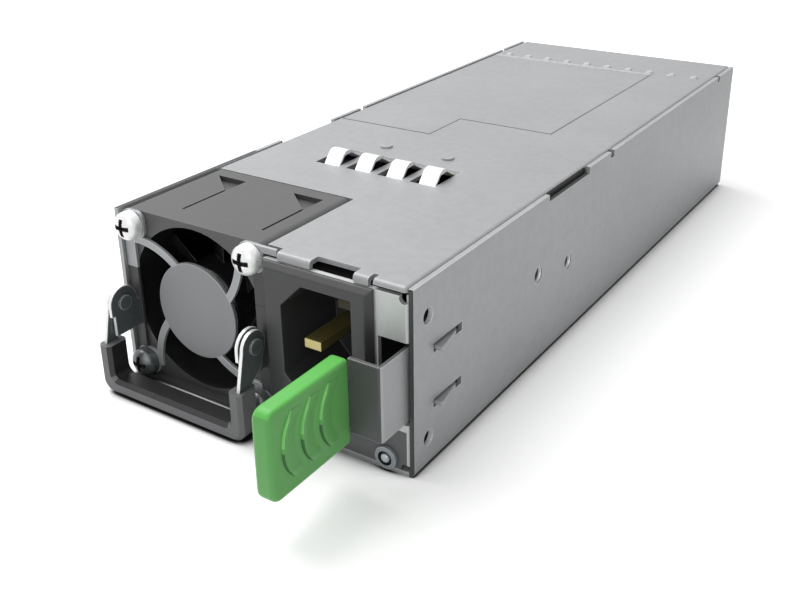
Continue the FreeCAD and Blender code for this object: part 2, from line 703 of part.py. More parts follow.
def arc_radius(half_chord, rise):
    """Radius of an arc from half its chord and its rise above the chord."""
    return (half_chord * half_chord + rise * rise) / (rise * 2)


# Chassis: a U of sheet, with its holes and slots in the right wall
tray = new_body("tray")
profile = outline(along_y(tray, "tray_profile", front), [
    (left, 0), (right, 0), (right, top), (right_inside, top), (right_inside, d.wall),
    (left_inside, d.wall), (left_inside, top), (left, top)])
pad(tray, "tray_pad", profile, d.case_length, reverse=True)
shape = tip_shape(tray)
outer_edges = edges_where(shape, "y", x=left, z=0) + edges_where(shape, "y", x=right, z=0)
round_edges(tray, "tray_bends", d.bend, outer_edges)
shape = tip_shape(tray)
inner_edges = edges_where(shape, "y", x=left_inside, z=d.wall)
inner_edges += edges_where(shape, "y", x=right_inside, z=d.wall)
round_edges(tray, "tray_inner_bends", d.bend - d.wall, inner_edges)
rivet_points = [(front + d.latch_rivet_first, d.latch_rivet_first_height),
                (front + d.latch_rivet_second, d.latch_rivet_second_height)]
side_holes = along_x(tray, "side_holes", right)
for step in (0, 1):
    circle(side_holes, front + d.side_hole_inset, d.side_hole_low + d.side_hole_spacing * step,
           d.side_hole_radius)
for y, z in rivet_points:
    polygon(side_holes, y, z, d.latch_rivet_head, 16)
for z in (d.barb_low, d.barb_high):
    half = d.barb_thick / 2 + d.barb_room
    rectangle(side_holes, (front + d.barb_start - d.barb_room, z - half),
              (front + d.barb_start + d.barb_length + d.barb_room, z + half))
pocket(tray, "side_openings", side_holes, d.wall * 2)
slots = along_x(tray, "edge_slots", right)
for start, length in ((front + d.edge_slot_start, d.edge_slot_length),
                      (front + d.edge_notch_first, d.edge_notch),
                      (rear - d.edge_notch_second, d.edge_notch)):
    rectangle(slots, (start, top - d.edge_slot_depth), (start + length, top + d.over))
pocket(tray, "edge_openings", slots, d.case_width)
keep(tray, "chassis_tray")

# Cover: plate with folded skirts, windows, stepped area, front lip and a row of dimples
cover_left = left_inside + d.seam
cover_right = right_inside - d.seam
cover = new_body("cover")
plate = rectangle(along_y(cover, "plate_section", front), (cover_left, under), (cover_right, top))
pad(cover, "plate", plate, d.case_length, reverse=True)
skirts = along_y(cover, "skirt_section", front + d.skirt_start)
for low, high in ((cover_left, cover_left + d.wall), (cover_right - d.wall, cover_right)):
    rectangle(skirts, (low, top - d.cover_skirt), (high, under + d.wall / 2))
skirt_length = d.case_length - d.skirt_start - d.grille_inset - d.wall - d.seam
pad(cover, "skirts", skirts, skirt_length, reverse=True)
shape = tip_shape(cover)
long_edges = edges_where(shape, "y", x=cover_left, z=top) + edges_where(shape, "y", x=cover_right, z=top)
round_edges(cover, "cover_folds", d.cover_fold, long_edges)
lip = rectangle(along_y(cover, "lip_section", front),
                (lip_left, top - d.lip_drop), (lip_right, under))
pad(cover, "front_lip", lip, d.wall, reverse=True)
shape = tip_shape(cover)
round_edges(cover, "lip_fold", d.lip_round, edges_where(shape, "x", y=front, z=top))
cut_out = rectangle(along_z(cover, "fan_cut_outline", top),
                    (left - d.over, front - d.over), (fan_right + d.cut_out_gap, fan_back + d.cut_out_gap))
pocket(cover, "fan_cut_out", cut_out, d.cover_skirt + d.over)
lip_ends = along_z(cover, "lip_end_outline", top)
rectangle(lip_ends, (fan_right, front - d.over), (lip_left, front + d.lip_notch_depth))
rectangle(lip_ends, (lip_right, front - d.over), (lip_right + d.lip_notch, front + d.lip_notch_depth))
pocket(cover, "lip_ends", lip_ends, d.wall * 2)
lip_slot = rectangle(along_z(cover, "lip_slot_outline", top),
                     (lip_left + d.lip_slot_left, front - d.over),
                     (lip_right - d.lip_slot_right, front + d.lip_slot_depth))
pocket(cover, "lip_slot", lip_slot, d.lip_drop + d.over)
window = rectangle(along_z(cover, "window_outline", top),
                   (left + d.finger_left, front + d.finger_start),
                   (left + d.finger_left + d.finger_window_wide,
                    front + d.finger_start + d.finger_window_long))
window = pocket(cover, "finger_window", window, d.wall * 2)
pattern(cover, "finger_windows", [window], "X_Axis", d.finger_pitch, d.finger_count)
step = outline(along_z(cover, "step_outline", top), [
    (left - d.over, front + d.step_first), (left + d.step_tab, front + d.step_first),
    (left + d.step_tab, front + d.step_second), (left + d.step_width, front + d.step_second),
    (left + d.step_width, rear - d.step_end), (left - d.over, rear - d.step_end)])
pocket(cover, "stepped_area", step, d.panel_step)
rivet_holes = along_z(cover, "strip_rivet_holes", top)
strip_rivet_y = front + d.finger_start + d.finger_window_long + d.strip_rivet_offset
strip_rivet_x = [left + d.finger_left + d.finger_pitch * number - d.strip_rivet_shift for number in (1, 3)]
for x in strip_rivet_x:
    polygon(rivet_holes, x, strip_rivet_y, d.small_rivet_radius)
pocket(cover, "strip_rivet_bores", rivet_holes, d.wall * 2)
dimple = crown(cover, "dimple", along_z, (top, top + d.dimple_depth),
               (-d.dimple_pitch * (d.dimple_count - 1) / 2, rear - d.dimple_row),
               (d.dimple_radius, d.dimple_crown), 8)
pattern(cover, "dimples", [dimple], "X_Axis", d.dimple_pitch, d.dimple_count)
keep(cover, "top_cover")

# Spring fingers on a strip under the cover, arched up through the cover's windows
strip_low = under - d.finger_sheet
finger_x = left + d.finger_left + d.finger_side
strip_front = front + d.finger_start + d.finger_window_long + d.finger_sheet
fingers = new_body("fingers")
strip = rectangle(along_z(fingers, "strip_outline", strip_low),
                  (left + d.finger_left - d.wall, strip_front),
                  (left + d.finger_left + d.finger_pitch * d.finger_count, strip_front + d.strip_length))
for x in strip_rivet_x:
    polygon(strip, x, strip_rivet_y, d.small_rivet_radius)
pad(fingers, "strip", strip, d.finger_sheet)
crest = top + d.finger_rise
toe = front + d.finger_start + d.finger_sheet
heel = strip_front + d.finger_sheet
brow = d.finger_brow
half_brow = d.finger_crest_length / 2
front_brow = front + d.finger_start + d.finger_crest_front
rear_brow = front_brow + d.finger_crest_length
thick = d.finger_sheet
bend_up = front + d.finger_start + d.finger_window_long - d.finger_sheet
finger = outline(along_x(fingers, "finger_profile", finger_x), [
    (heel, strip_low), (heel, under), (bend_up, under),
    (rear_brow, crest - brow), (front_brow, crest - brow),
    (toe, top - thick), (toe + thick, top - thick * 2),
    (front_brow + thick, crest - brow - thick - thick / 2),
    (rear_brow - thick / 2, crest - brow - thick),
    (bend_up - thick, strip_low)],
    {3: ((front_brow + rear_brow) / 2, crest, arc_radius(half_brow, brow))})
finger = pad(fingers, "finger", finger, d.finger_width)
pattern(fingers, "finger_row", [finger], "X_Axis", d.finger_pitch, d.finger_count)
keep(fingers, "grounding_fingers")


def rivet(name, axis, start, shank, length, head, first_head, last_head, turns=False):
    """A shank along an axis with a head beyond each end. It is round if a piece turns on it."""
    parts = [(rod if turns else prism)(name + "_shank", axis, start, shank, length)]
    number = "XYZ".index(axis)
    low, high = list(start), list(start)
    low[number] = low[number] - first_head
    high[number] = high[number] + length
    parts.append(prism(name + "_head", axis, low, head, first_head, 12))
    parts.append(prism(name + "_foot", axis, high, head, last_head, 12))
    return fuse(name, parts)


keep(group("strip_rivets", [
    rivet("strip_rivet_" + str(number), "Z", (x, strip_rivet_y, strip_low), d.small_rivet_radius,
          d.wall + d.finger_sheet, d.small_rivet_head, d.small_rivet_foot, d.small_rivet_foot)
    for number, x in enumerate(strip_rivet_x)]), "strip_rivets")

# Front panel: a folded sheet with an opening for the inlet and a window for the latch
inlet_left = fan_right + d.inlet_gap
inlet_right = right_inside - d.inlet_side
inlet_top = top - d.inlet_top_gap
body_left = inlet_left + d.inlet_shrink
body_right = inlet_right - d.inlet_shrink
body_low = d.inlet_base + d.inlet_shrink
body_high = inlet_top - d.inlet_shrink
window_low = d.latch_low - d.latch_window_gap
window_high = d.latch_high + d.latch_window_gap
panel = new_body("panel")
fold_room = d.bend - d.wall
face = outline(along_y(panel, "panel_outline", front), [
    (inlet_left, d.wall), (right_inside - fold_room, d.wall), (right_inside, d.wall + fold_room),
    (right_inside, inlet_top), (inlet_left, inlet_top)])
pad(panel, "panel_face", face, d.wall, reverse=True)
fold = rectangle(along_x(panel, "panel_return_outline", right_inside - d.wall),
                 (front, d.wall + fold_room), (front + d.panel_return, inlet_top))
pad(panel, "panel_return", fold, d.wall)
foot = rectangle(along_z(panel, "panel_foot_outline", d.wall),
                 (inlet_left, front), (right_inside - d.wall, front + d.panel_return))
pad(panel, "panel_foot", foot, d.wall)
shape = tip_shape(panel)
round_edges(panel, "panel_fold", d.panel_fold, edges_where(shape, "z", x=right_inside, y=front))
openings = along_y(panel, "panel_openings_outline", front)
rectangle(openings, (body_left, body_low), (body_right, body_high))
polygon(openings, right - d.flange_screw_inset, d.flange_screw_z, d.flange_screw_radius)
pocket(panel, "panel_openings", openings, d.wall)
latch_window = rectangle(along_y(panel, "latch_window_outline", front),
                         (inlet_right + d.latch_window_edge, window_low),
                         (right_inside + d.over, window_high))
pocket(panel, "latch_window", latch_window, d.panel_return + d.over)
reliefs = along_y(panel, "panel_relief_outline", front)
for z in (inlet_top - d.relief_radius / 2, d.wall + d.relief_radius / 2):
    polygon(reliefs, right_inside - d.wall, z, d.relief_radius, 12)
pocket(panel, "panel_reliefs", reliefs, d.wall)
holes = along_x(panel, "panel_side_holes", right_inside)
for step in (0, 1):
    circle(holes, front + d.side_hole_inset, d.side_hole_low + d.side_hole_spacing * step,
           d.side_hole_radius)
pocket(panel, "panel_side_bores", holes, d.wall)
keep(panel, "front_panel")

# Fan frame: square body with a round duct, a motor mount on struts and a bearing tube
frame = new_body("frame", (fan_x, fan_front, fan_z))
square = rectangle(along_y(frame, "frame_outline", 0), (-half_fan, -half_fan), (half_fan, half_fan))
pad(frame, "frame_block", square, d.fan_depth, reverse=True)
shape = tip_shape(frame)
corners = []
for x in (-half_fan, half_fan):
    for z in (-half_fan, half_fan):
        corners += edges_where(shape, "y", x=x, z=z)
round_edges(frame, "frame_corners", d.fan_corner, corners)
pocket(frame, "duct", polygon(along_y(frame, "duct_outline", 0), 0, 0, duct_radius, 48), d.fan_depth)
waist = along_y(frame, "waist_outline", d.fan_flange)
bar = half_fan - d.fan_waist
for sign in (-1, 1):
    rectangle(waist, (bar if sign > 0 else -half_fan - d.over, -duct_radius / 2),
              (half_fan + d.over if sign > 0 else -bar, duct_radius / 2))
pocket(frame, "side_waists", waist, d.fan_depth - d.fan_flange * 2)
mount_front = d.fan_depth - d.motor_mount_thickness
for number, (half_x, half_z) in enumerate(((duct_radius + d.wall / 2, d.strut_width / 2),
                                           (d.strut_width / 2, duct_radius + d.wall / 2))):
    strut = rectangle(along_y(frame, "strut_outline_" + str(number), mount_front),
                      (-half_x, -half_z), (half_x, half_z))
    pad(frame, "struts_" + str(number), strut, d.motor_mount_thickness, reverse=True)
mount = polygon(along_y(frame, "mount_outline", mount_front), 0, 0, d.motor_mount_radius, 24)
pad(frame, "motor_mount", mount, d.motor_mount_thickness, reverse=True)
tube_start = d.fan_tube_start
tube = polygon(along_y(frame, "tube_outline", tube_start), 0, 0, d.bearing_tube_radius, 16)
pad(frame, "bearing_tube", tube, d.fan_depth - tube_start, reverse=True)
bore = polygon(along_y(frame, "bore_outline", tube_start), 0, 0, d.bearing_radius, 16)
pocket(frame, "bearing_bore", bore, d.fan_depth - tube_start - d.wall)
screw_holes = along_y(frame, "frame_holes", 0)
for x in (-half_holes, half_holes):
    for z in (-half_holes, half_holes):
        polygon(screw_holes, x, z, d.fan_hole_radius)
pocket(frame, "frame_bores", screw_holes, d.fan_depth)
slits = along_z(frame, "slit_outline", half_fan)
for number in (0, 1):
    x = -half_fan + d.slit_offset - d.fan_side_gap - d.wall + d.slit_pitch * number
    rectangle(slits, (x, d.slit_start), (x + d.slit_width, d.slit_start + d.slit_length))
pocket(frame, "slits", slits, d.slit_depth)
slopes = along_z(frame, "slope_outline", half_fan)
for number in (0, 1):
    x = -half_fan + d.slit_offset - d.fan_side_gap - d.wall + d.slit_pitch * number + d.slit_width
    y = d.slit_start + d.slit_length - d.slit_width
    outline(slopes, [(x, y), (x, y + d.slope_length), (x - d.slope_width, y + d.slope_length)])
pocket(frame, "slopes", slopes, d.pocket_depth)
keep(frame, "fan_frame")

# Fan rotor: a cup with twisted blades, lofted from a root section to a tip section
rotor_y = fan_front + d.hub_gap
rotor = new_body("rotor", (fan_x, rotor_y, fan_z))
hub = circle(along_y(rotor, "hub_outline", 0), 0, 0, d.hub_radius)
pad(rotor, "hub", hub, d.hub_length, reverse=True)
shape = tip_shape(rotor)
round_edges(rotor, "hub_nose", d.hub_nose, edges_where(shape, y=0, x=0, z=0), "PartDesign::Chamfer")


def blade_section(sketch, chord, twist, camber, thickness):
    """A bent blade section with a thick middle and thin ends, turned by the twist."""
    along = (cosine(twist), sine(twist))
    across = (-sine(twist), cosine(twist))
    middle = d.hub_length / 2
    half = chord / 2
    end = thickness / 4
    points = []
    for forward, sideways in ((-half, end), (-half / 5, camber + thickness / 2), (half, end),
                              (half, -end), (-half / 5, camber - thickness / 2), (-half, -end)):
        points.append((middle + along[0] * forward + across[0] * sideways,
                       along[1] * forward + across[1] * sideways))
    return outline(sketch, points)


root_section = blade_section(along_x(rotor, "blade_root", d.hub_radius - d.hub_wall * 3 / 2),
                             d.blade_chord, d.blade_root_twist, d.blade_root_camber, d.blade_thickness)
tip_section = blade_section(along_x(rotor, "blade_tip", duct_radius),
                            d.blade_chord, d.blade_tip_twist, d.blade_tip_camber, d.blade_thickness)
blade = rotor.newObject("PartDesign::AdditiveLoft", "blade")
blade.Profile = root_section
blade.Sections = [tip_section]
blade.Ruled = True
polar(rotor, "blades", [blade], d.blade_count)
trim = along_y(rotor, "trim_outline", -d.hub_length)
circle(trim, 0, 0, duct_radius - d.blade_tip_gap)
circle(trim, 0, 0, duct_radius * 2)
pocket(rotor, "blade_trim", trim, d.hub_length * 3)
cavity = along_y(rotor, "cavity_outline", d.hub_wall)
circle(cavity, 0, 0, d.hub_radius - d.hub_wall)
pocket(rotor, "cavity", cavity, d.hub_length * 2)
boss = circle(along_y(rotor, "boss_outline", 0), 0, 0, d.hub_boss_radius)
pad(rotor, "boss", boss, d.hub_boss_length, reverse=True)
boss_bore = circle(along_y(rotor, "boss_bore_outline", d.hub_wall), 0, 0, d.shaft_radius)
pocket(rotor, "boss_bore", boss_bore, d.hub_boss_length)
keep(rotor, "fan_rotor")

shaft_start = rotor_y + d.hub_wall
tube_front = fan_front + d.fan_tube_start
tube_back = fan_back - d.wall
keep(rod("shaft", "Y", (fan_x, shaft_start, fan_z), d.shaft_radius,
         tube_back - d.bearing_length / 4 - shaft_start), "fan_shaft")
bearings = []
for number, y in enumerate((tube_front, tube_back - d.bearing_length * 1.5)):
    race = prism("bearing_race_" + str(number), "Y", (fan_x, y, fan_z), d.bearing_radius,
                 d.bearing_length, 16)
    hole = rod("bearing_hole_" + str(number), "Y", (fan_x, y - d.over, fan_z), d.shaft_radius + d.shaft_fit,
               d.bearing_length + d.over * 2)
    bearings.append(cut("bearing_" + str(number), race, [hole]))
keep(group("bearings", bearings), "fan_bearings")
magnet_y = rotor_y + d.hub_boss_length + d.wall
magnet_ring = prism("magnet_ring", "Y", (fan_x, magnet_y, fan_z),
                    d.hub_radius - d.hub_wall, d.magnet_length, 24)
magnet_hole = prism("magnet_hole", "Y", (fan_x, magnet_y - d.over, fan_z),
                    d.hub_radius - d.hub_wall - d.magnet_thickness, d.magnet_length + d.over * 2, 16)
keep(cut("magnet", magnet_ring, [magnet_hole]), "fan_magnet")
core_y = magnet_y + (d.magnet_length - d.coil_length) / 2
core = prism("stator_core", "Y", (fan_x, core_y, fan_z), d.coil_radius, d.coil_length, 16)
core_hole = prism("stator_hole", "Y", (fan_x, core_y - d.over, fan_z), d.bearing_tube_radius,
                  d.coil_length + d.over * 2, 16)
gaps = []
for number, (half_x, half_z) in enumerate(((d.coil_radius + d.over, d.strut_width / 2),
                                           (d.strut_width / 2, d.coil_radius + d.over))):
    for sign in (-1, 1):
        inner = d.bearing_tube_radius + d.wall
        gap_start = core_y - d.over
        gap_end = core_y + d.coil_length + d.over
        if number == 0:
            low = (fan_x + (inner if sign > 0 else -half_x), gap_start, fan_z - half_z)
            high = (fan_x + (half_x if sign > 0 else -inner), gap_end, fan_z + half_z)
        else:
            low = (fan_x - half_x, gap_start, fan_z + (inner if sign > 0 else -half_z))
            high = (fan_x + half_x, gap_end, fan_z + (half_z if sign > 0 else -inner))
        gaps.append(box("stator_gap_" + str(number) + ("a" if sign > 0 else "b"), low, high))
keep(cut("stator", core, [core_hole] + gaps), "fan_stator")
circuit_y = fan_back - d.motor_mount_thickness - d.wall
disc = prism("circuit_disc", "Y", (fan_x, circuit_y, fan_z), d.motor_mount_radius - d.wall / 2, d.wall, 16)
disc_hole = prism("circuit_hole", "Y", (fan_x, circuit_y - d.over, fan_z), d.bearing_tube_radius,
                  d.wall + d.over * 2, 16)
keep(cut("circuit", disc, [disc_hole]), "fan_circuit_board")

# Finger guard: a stamped sheet before the fan, with two ears bent forward for the handle
guard = new_body("guard", (fan_x, front, fan_z))
guard_y = d.fan_recess - d.guard_sheet
disc = polygon(along_y(guard, "guard_disc_outline", guard_y), 0, 0, d.guard_disc_radius, 32)
pad(guard, "guard_disc", disc, d.guard_sheet, reverse=True)
tab_inner = half_holes - d.guard_tab / 2
spoke_start_x = -tab_inner - d.guard_sheet
spoke_start_z = tab_inner + d.guard_sheet
spoke_end_x = -d.spoke_width
spoke_end_z = d.guard_disc_radius - d.guard_sheet
half_spoke = d.spoke_width / 2
spoke = outline(along_y(guard, "spoke_outline", guard_y), [
    (spoke_start_x, spoke_start_z - half_spoke), (spoke_end_x, spoke_end_z - half_spoke),
    (spoke_end_x, spoke_end_z + half_spoke), (spoke_start_x, spoke_start_z + half_spoke)])
spoke = pad(guard, "spoke", spoke, d.guard_sheet, reverse=True)
tab = rectangle(along_y(guard, "corner_outline", guard_y), (-half_fan, tab_inner), (-tab_inner, half_fan))
tab = pad(guard, "corner", tab, d.guard_sheet, reverse=True)
polar(guard, "spokes_and_corners", [spoke, tab], Size(4, "4"))
strip_in = half_fan - d.guard_strip
strip = rectangle(along_y(guard, "strip_outline", guard_y),
                  (-half_fan, -tab_inner - d.wall), (-strip_in, tab_inner + d.wall))
strip = pad(guard, "guard_side", strip, d.guard_sheet, reverse=True)
pivot_y = -d.pivot_reach
pivot_z = d.pivot_height - fan_z
ear = outline(along_x(guard, "ear_outline", -ear_distance - d.guard_sheet), [
    (guard_y + d.guard_sheet, pivot_z - d.ear_foot),
    (pivot_y - d.ear_radius + d.guard_sheet, pivot_z - d.ear_foot),
    (pivot_y - d.ear_radius + d.guard_sheet, pivot_z - d.ear_step),
    (pivot_y - d.ear_radius, pivot_z - d.ear_step),
    (pivot_y - d.ear_radius, pivot_z), (pivot_y + d.ear_radius, pivot_z),
    (guard_y + d.guard_sheet, pivot_z)],
    {4: (pivot_y, pivot_z + d.ear_radius, d.ear_radius)})
ear = pad(guard, "ear", ear, d.guard_sheet)
mirrored(guard, "right_side", [strip, ear], "YZ_Plane")
run = rectangle(along_y(guard, "guard_run_outline", guard_y),
                (half_fan - d.over, inlet_top - fan_z + d.seam), (half_fan + d.guard_run, half_fan))
pad(guard, "guard_run", run, d.guard_sheet, reverse=True)
holes = along_y(guard, "guard_holes_outline", guard_y)
for x in (-half_holes, half_holes):
    for z in (-half_holes, half_holes):
        polygon(holes, x, z, d.fan_hole_radius)
pocket(guard, "guard_holes", holes, d.guard_sheet)
pivots = circle(along_x(guard, "pivot_holes_outline", half_fan), pivot_y, pivot_z, d.pivot_radius)
pocket(guard, "pivot_holes", pivots, d.fan_size)
keep(guard, "fan_guard")


def pan_screw(name, point):
    """A cross recessed screw whose head looks forward, with its seat at the given point."""
    screw = new_body(name, point)
    shank = polygon(along_y(screw, name + "_shank", 0), 0, 0, d.fan_hole_radius - d.screw_play)
    pad(screw, name + "_shank_pad", shank, d.screw_length, reverse=True)
    rim = polygon(along_y(screw, name + "_rim", 0), 0, 0, d.screw_head_radius, 12)
    pad(screw, name + "_rim_pad", rim, d.screw_rim)
    crown(screw, name + "_crown", along_y, (-d.screw_rim, -d.screw_head), (0, 0),
          (d.screw_head_radius, d.screw_crown), 12)
    arm = d.recess_reach
    half = d.recess_width / 2
    cross = outline(along_y(screw, name + "_cross", -d.screw_head), [
        (-half, -arm), (half, -arm), (half, -half), (arm, -half), (arm, half), (half, half),
        (half, arm), (-half, arm), (-half, half), (-arm, half), (-arm, -half), (-half, -half)])
    pocket(screw, name + "_recess", cross, d.screw_recess)
    return screw


screws = []
for number, (x, z) in enumerate(((-1, -1), (1, -1), (-1, 1), (1, 1))):
    screws.append(pan_screw("fan_screw_" + str(number), (
        fan_x + half_holes * x, front + guard_y, fan_z + half_holes * z)))
keep(group("screws", screws), "fan_screws")

# Handle: two arms that turn on rivets through the ears, with a plastic grip
grip_low = d.grip_lift
arm_inner = ear_distance + d.guard_sheet + d.arm_gap
arm_foot = grip_low + d.grip_height - d.arm_tongue_depth - d.pivot_height
tongue_front = -d.grip_reach + (d.grip_depth - d.arm_tongue) / 2 + d.pivot_reach
tongue_top = grip_low + d.grip_height - d.pivot_height
r = d.arm_end_radius


def handle_arm(name, x):
    arm = new_body(name, (x, front + pivot_y, d.pivot_height))
    shape = outline(along_x(arm, name + "_outline", 0), [
        (r, 0), (-r, 0), (tongue_front, tongue_top), (tongue_front, arm_foot),
        (tongue_front + d.arm_tongue, arm_foot), (tongue_front + d.arm_tongue, tongue_top),
        (d.arm_neck, -d.arm_neck_drop)], {0: (Size(0, "0"), r, r)})
    circle(shape, 0, 0, d.pivot_radius + d.pivot_fit)
    pad(arm, name + "_pad", shape, d.arm_sheet)
    return arm


keep(handle_arm("left_arm", fan_x - arm_inner - d.arm_sheet), "handle_arm_left")
keep(handle_arm("right_arm", fan_x + arm_inner), "handle_arm_right")
grip = new_body("grip", (fan_x, front - d.grip_reach, grip_low))
half_grip = arm_inner + d.arm_sheet + d.grip_cheek
inner_grip = half_grip - d.grip_bar
u_shape = outline(along_y(grip, "grip_outline", 0), [
    (-half_grip, 0), (half_grip, 0), (half_grip, d.grip_height), (inner_grip, d.grip_height),
    (inner_grip, d.grip_bar), (-inner_grip, d.grip_bar), (-inner_grip, d.grip_height),
    (-half_grip, d.grip_height)])
pad(grip, "grip_pad", u_shape, d.grip_depth, reverse=True)
shape = tip_shape(grip)
outside = edges_where(shape, "y", x=-half_grip, z=0) + edges_where(shape, "y", x=half_grip, z=0)
round_edges(grip, "grip_corners", d.grip_corner, outside)
shape = tip_shape(grip)
inside = edges_where(shape, "y", x=-inner_grip, z=d.grip_bar)
inside += edges_where(shape, "y", x=inner_grip, z=d.grip_bar)
round_edges(grip, "grip_inner_corners", d.grip_corner / 2, inside)
shape = tip_shape(grip)
rims = []
for number, edge in enumerate(shape.Edges, start=1):
    bounds = edge.BoundBox
    if bounds.YLength < 0.01 and abs(edge.CenterOfMass.z - d.grip_height.value) > 0.01:
        rims.append("Edge" + str(number))
round_edges(grip, "grip_rims", d.grip_round, rims, "PartDesign::Chamfer")
slots = along_z(grip, "arm_slots_outline", d.grip_height)
slot_y = tongue_front - d.pivot_reach + d.grip_reach
for low in (-arm_inner - d.arm_sheet, arm_inner):
    rectangle(slots, (low, slot_y), (low + d.arm_sheet, slot_y + d.arm_tongue))
pocket(grip, "arm_slots", slots, d.arm_tongue_depth)
keep(grip, "handle_grip")
pins = []
for number, sign in enumerate((-1, 1)):
    inner_face = fan_x + ear_distance * sign
    length = d.guard_sheet + d.arm_gap + d.arm_sheet + d.pivot_fit
    start = inner_face if sign > 0 else inner_face - length
    pins.append(rivet("handle_rivet_" + str(number), "X", (start, front + pivot_y, d.pivot_height),
                      d.pivot_radius, length, d.pivot_head_radius, d.pivot_head, d.pivot_head, True))
keep(group("pivot_rivets", pins), "handle_rivets")

# Inlet: bezel and body with an upright socket that has two sloping corners
inlet = new_body("inlet")
bezel = rectangle(along_y(inlet, "bezel_outline", front - d.inlet_proud),
                  (inlet_left, d.inlet_base), (inlet_right, inlet_top))
pad(inlet, "bezel", bezel, d.inlet_proud, reverse=True)
shape = tip_shape(inlet)
rim = []
for number, edge in enumerate(shape.Edges, start=1):
    if edge.BoundBox.YMax < (front - d.inlet_proud).value + 0.01:
        rim.append("Edge" + str(number))
round_edges(inlet, "bezel_bevel", d.inlet_bevel, rim, "PartDesign::Chamfer")
block = rectangle(along_y(inlet, "block_outline", front), (body_left, body_low), (body_right, body_high))
pad(inlet, "block", block, d.inlet_depth, reverse=True)
socket_left = inlet_left + d.socket_left
socket_right = inlet_right - d.socket_right
socket_low = d.inlet_base + d.socket_below
socket_high = inlet_top - d.socket_above
socket_centre = (socket_low + socket_high) / 2
c = d.socket_corner
mouth = outline(along_y(inlet, "socket_outline", front - d.inlet_proud), [
    (socket_left + c, socket_low), (socket_right, socket_low), (socket_right, socket_high),
    (socket_left + c, socket_high), (socket_left, socket_high - c), (socket_left, socket_low + c)])
pocket(inlet, "socket", mouth, d.socket_depth)
contact_x = (socket_left + socket_right) / 2
contacts = [(contact_x - d.contact_stagger / 2, socket_centre),
            (contact_x + d.contact_stagger / 2, socket_centre - d.contact_pitch / 2),
            (contact_x + d.contact_stagger / 2, socket_centre + d.contact_pitch / 2)]
half_w, half_t = d.contact_wide / 2, d.contact_thick / 2
blades = along_y(inlet, "contact_slots_outline", front - d.inlet_proud + d.socket_depth)
for x, z in contacts:
    rectangle(blades, (x - half_w, z - half_t), (x + half_w, z + half_t))
pocket(inlet, "contact_slots", blades, d.inlet_depth)
keep(inlet, "inlet_housing")
contact_front = front - d.inlet_proud + d.contact_recess
contact_back = front + d.inlet_depth + d.inlet_board_sheet + d.wall
keep(group("contact_blades", [
    box("contact_" + str(number),
        (x - half_w, contact_front + (d.contact_step if number else 0), z - half_t),
        (x + half_w, contact_back, z + half_t))
    for number, (x, z) in enumerate(contacts)]), "inlet_pins")
inlet_back = front + d.inlet_depth
board_block = box("inlet_board_block", (body_left, inlet_back, board_high - d.inlet_board_sheet * 2),
                  (body_right, inlet_back + d.inlet_board_sheet, body_high))
board_slots = [box("inlet_board_slot_" + str(number), (x - half_w, inlet_back - d.over, z - half_t),
                   (x + half_w, inlet_back + d.inlet_board_sheet + d.over, z + half_t))
               for number, (x, z) in enumerate(contacts)]
keep(cut("inlet_board_cut", board_block, board_slots), "inlet_board")

# Latch: a leaf along the right wall with a bracket at the front and two barbs
latch = new_body("latch")
hinge_y = front + d.latch_bend_line
latch_front = front - d.latch_reach
leaf = rectangle(along_x(latch, "leaf_outline", latch_inner),
                 (latch_front, d.latch_low), (hinge_y, d.latch_high))
pad(latch, "leaf", leaf, d.latch_sheet)
bracket_left = latch_outer - d.latch_front
bracket = rectangle(along_y(latch, "bracket_outline", latch_front),
                    (bracket_left, d.latch_low), (latch_outer, d.latch_high))
pad(latch, "bracket", bracket, d.latch_sheet, reverse=True)
shape = tip_shape(latch)
round_edges(latch, "bracket_fold", d.latch_sheet, edges_where(shape, "z", x=latch_outer, y=latch_front))
tab_left = bracket_left - d.tab_thick
tab_front = front - d.latch_reach + d.latch_sheet - d.tab_length
tab_middle = d.tab_base + d.tab_height / 2
tang_low = tab_middle - d.tang_height / 2
tang_high = tab_middle + d.tang_height / 2
tang_left = tab_left + d.tab_thick / 2 - d.latch_sheet / 2
neck = rectangle(along_y(latch, "neck_outline", latch_front), (tang_left, tang_low),
                 (bracket_left + d.latch_sheet, tang_high))
pad(latch, "neck", neck, d.latch_sheet, reverse=True)
tang = rectangle(along_x(latch, "tang_outline", tang_left), (latch_front - d.tang_length, tang_low),
                 (latch_front + d.latch_sheet, tang_high))
pad(latch, "tang", tang, d.latch_sheet)
barb_start = front + d.barb_start
barb_tip = right + d.barb_height
for number, z in enumerate((d.barb_low, d.barb_high)):
    barb = outline(along_z(latch, "barb_outline_" + str(number), z - d.barb_thick / 2), [
        (latch_outer - d.latch_sheet / 2, barb_start), (barb_tip, barb_start),
        (barb_tip, barb_start + d.barb_thick), (right + d.seam, barb_start + d.barb_run),
        (latch_outer, barb_start + d.barb_length),
        (latch_outer - d.latch_sheet / 2, barb_start + d.barb_length)])
    pad(latch, "barb_" + str(number), barb, d.barb_thick)
keep(latch, "latch_spring")
tail_start = hinge_y + d.tail_gap
tail = new_body("tail")
tail_outline = rectangle(along_x(tail, "tail_outline", right_inside - d.latch_sheet),
                         (tail_start, d.tail_low), (front + d.tail_end, d.tail_high))
for y, z in rivet_points:
    polygon(tail_outline, y, z, d.latch_rivet_shank)
pad(tail, "tail_pad", tail_outline, d.latch_sheet)
keep(tail, "latch_spring_tail")
latch_rivets = []
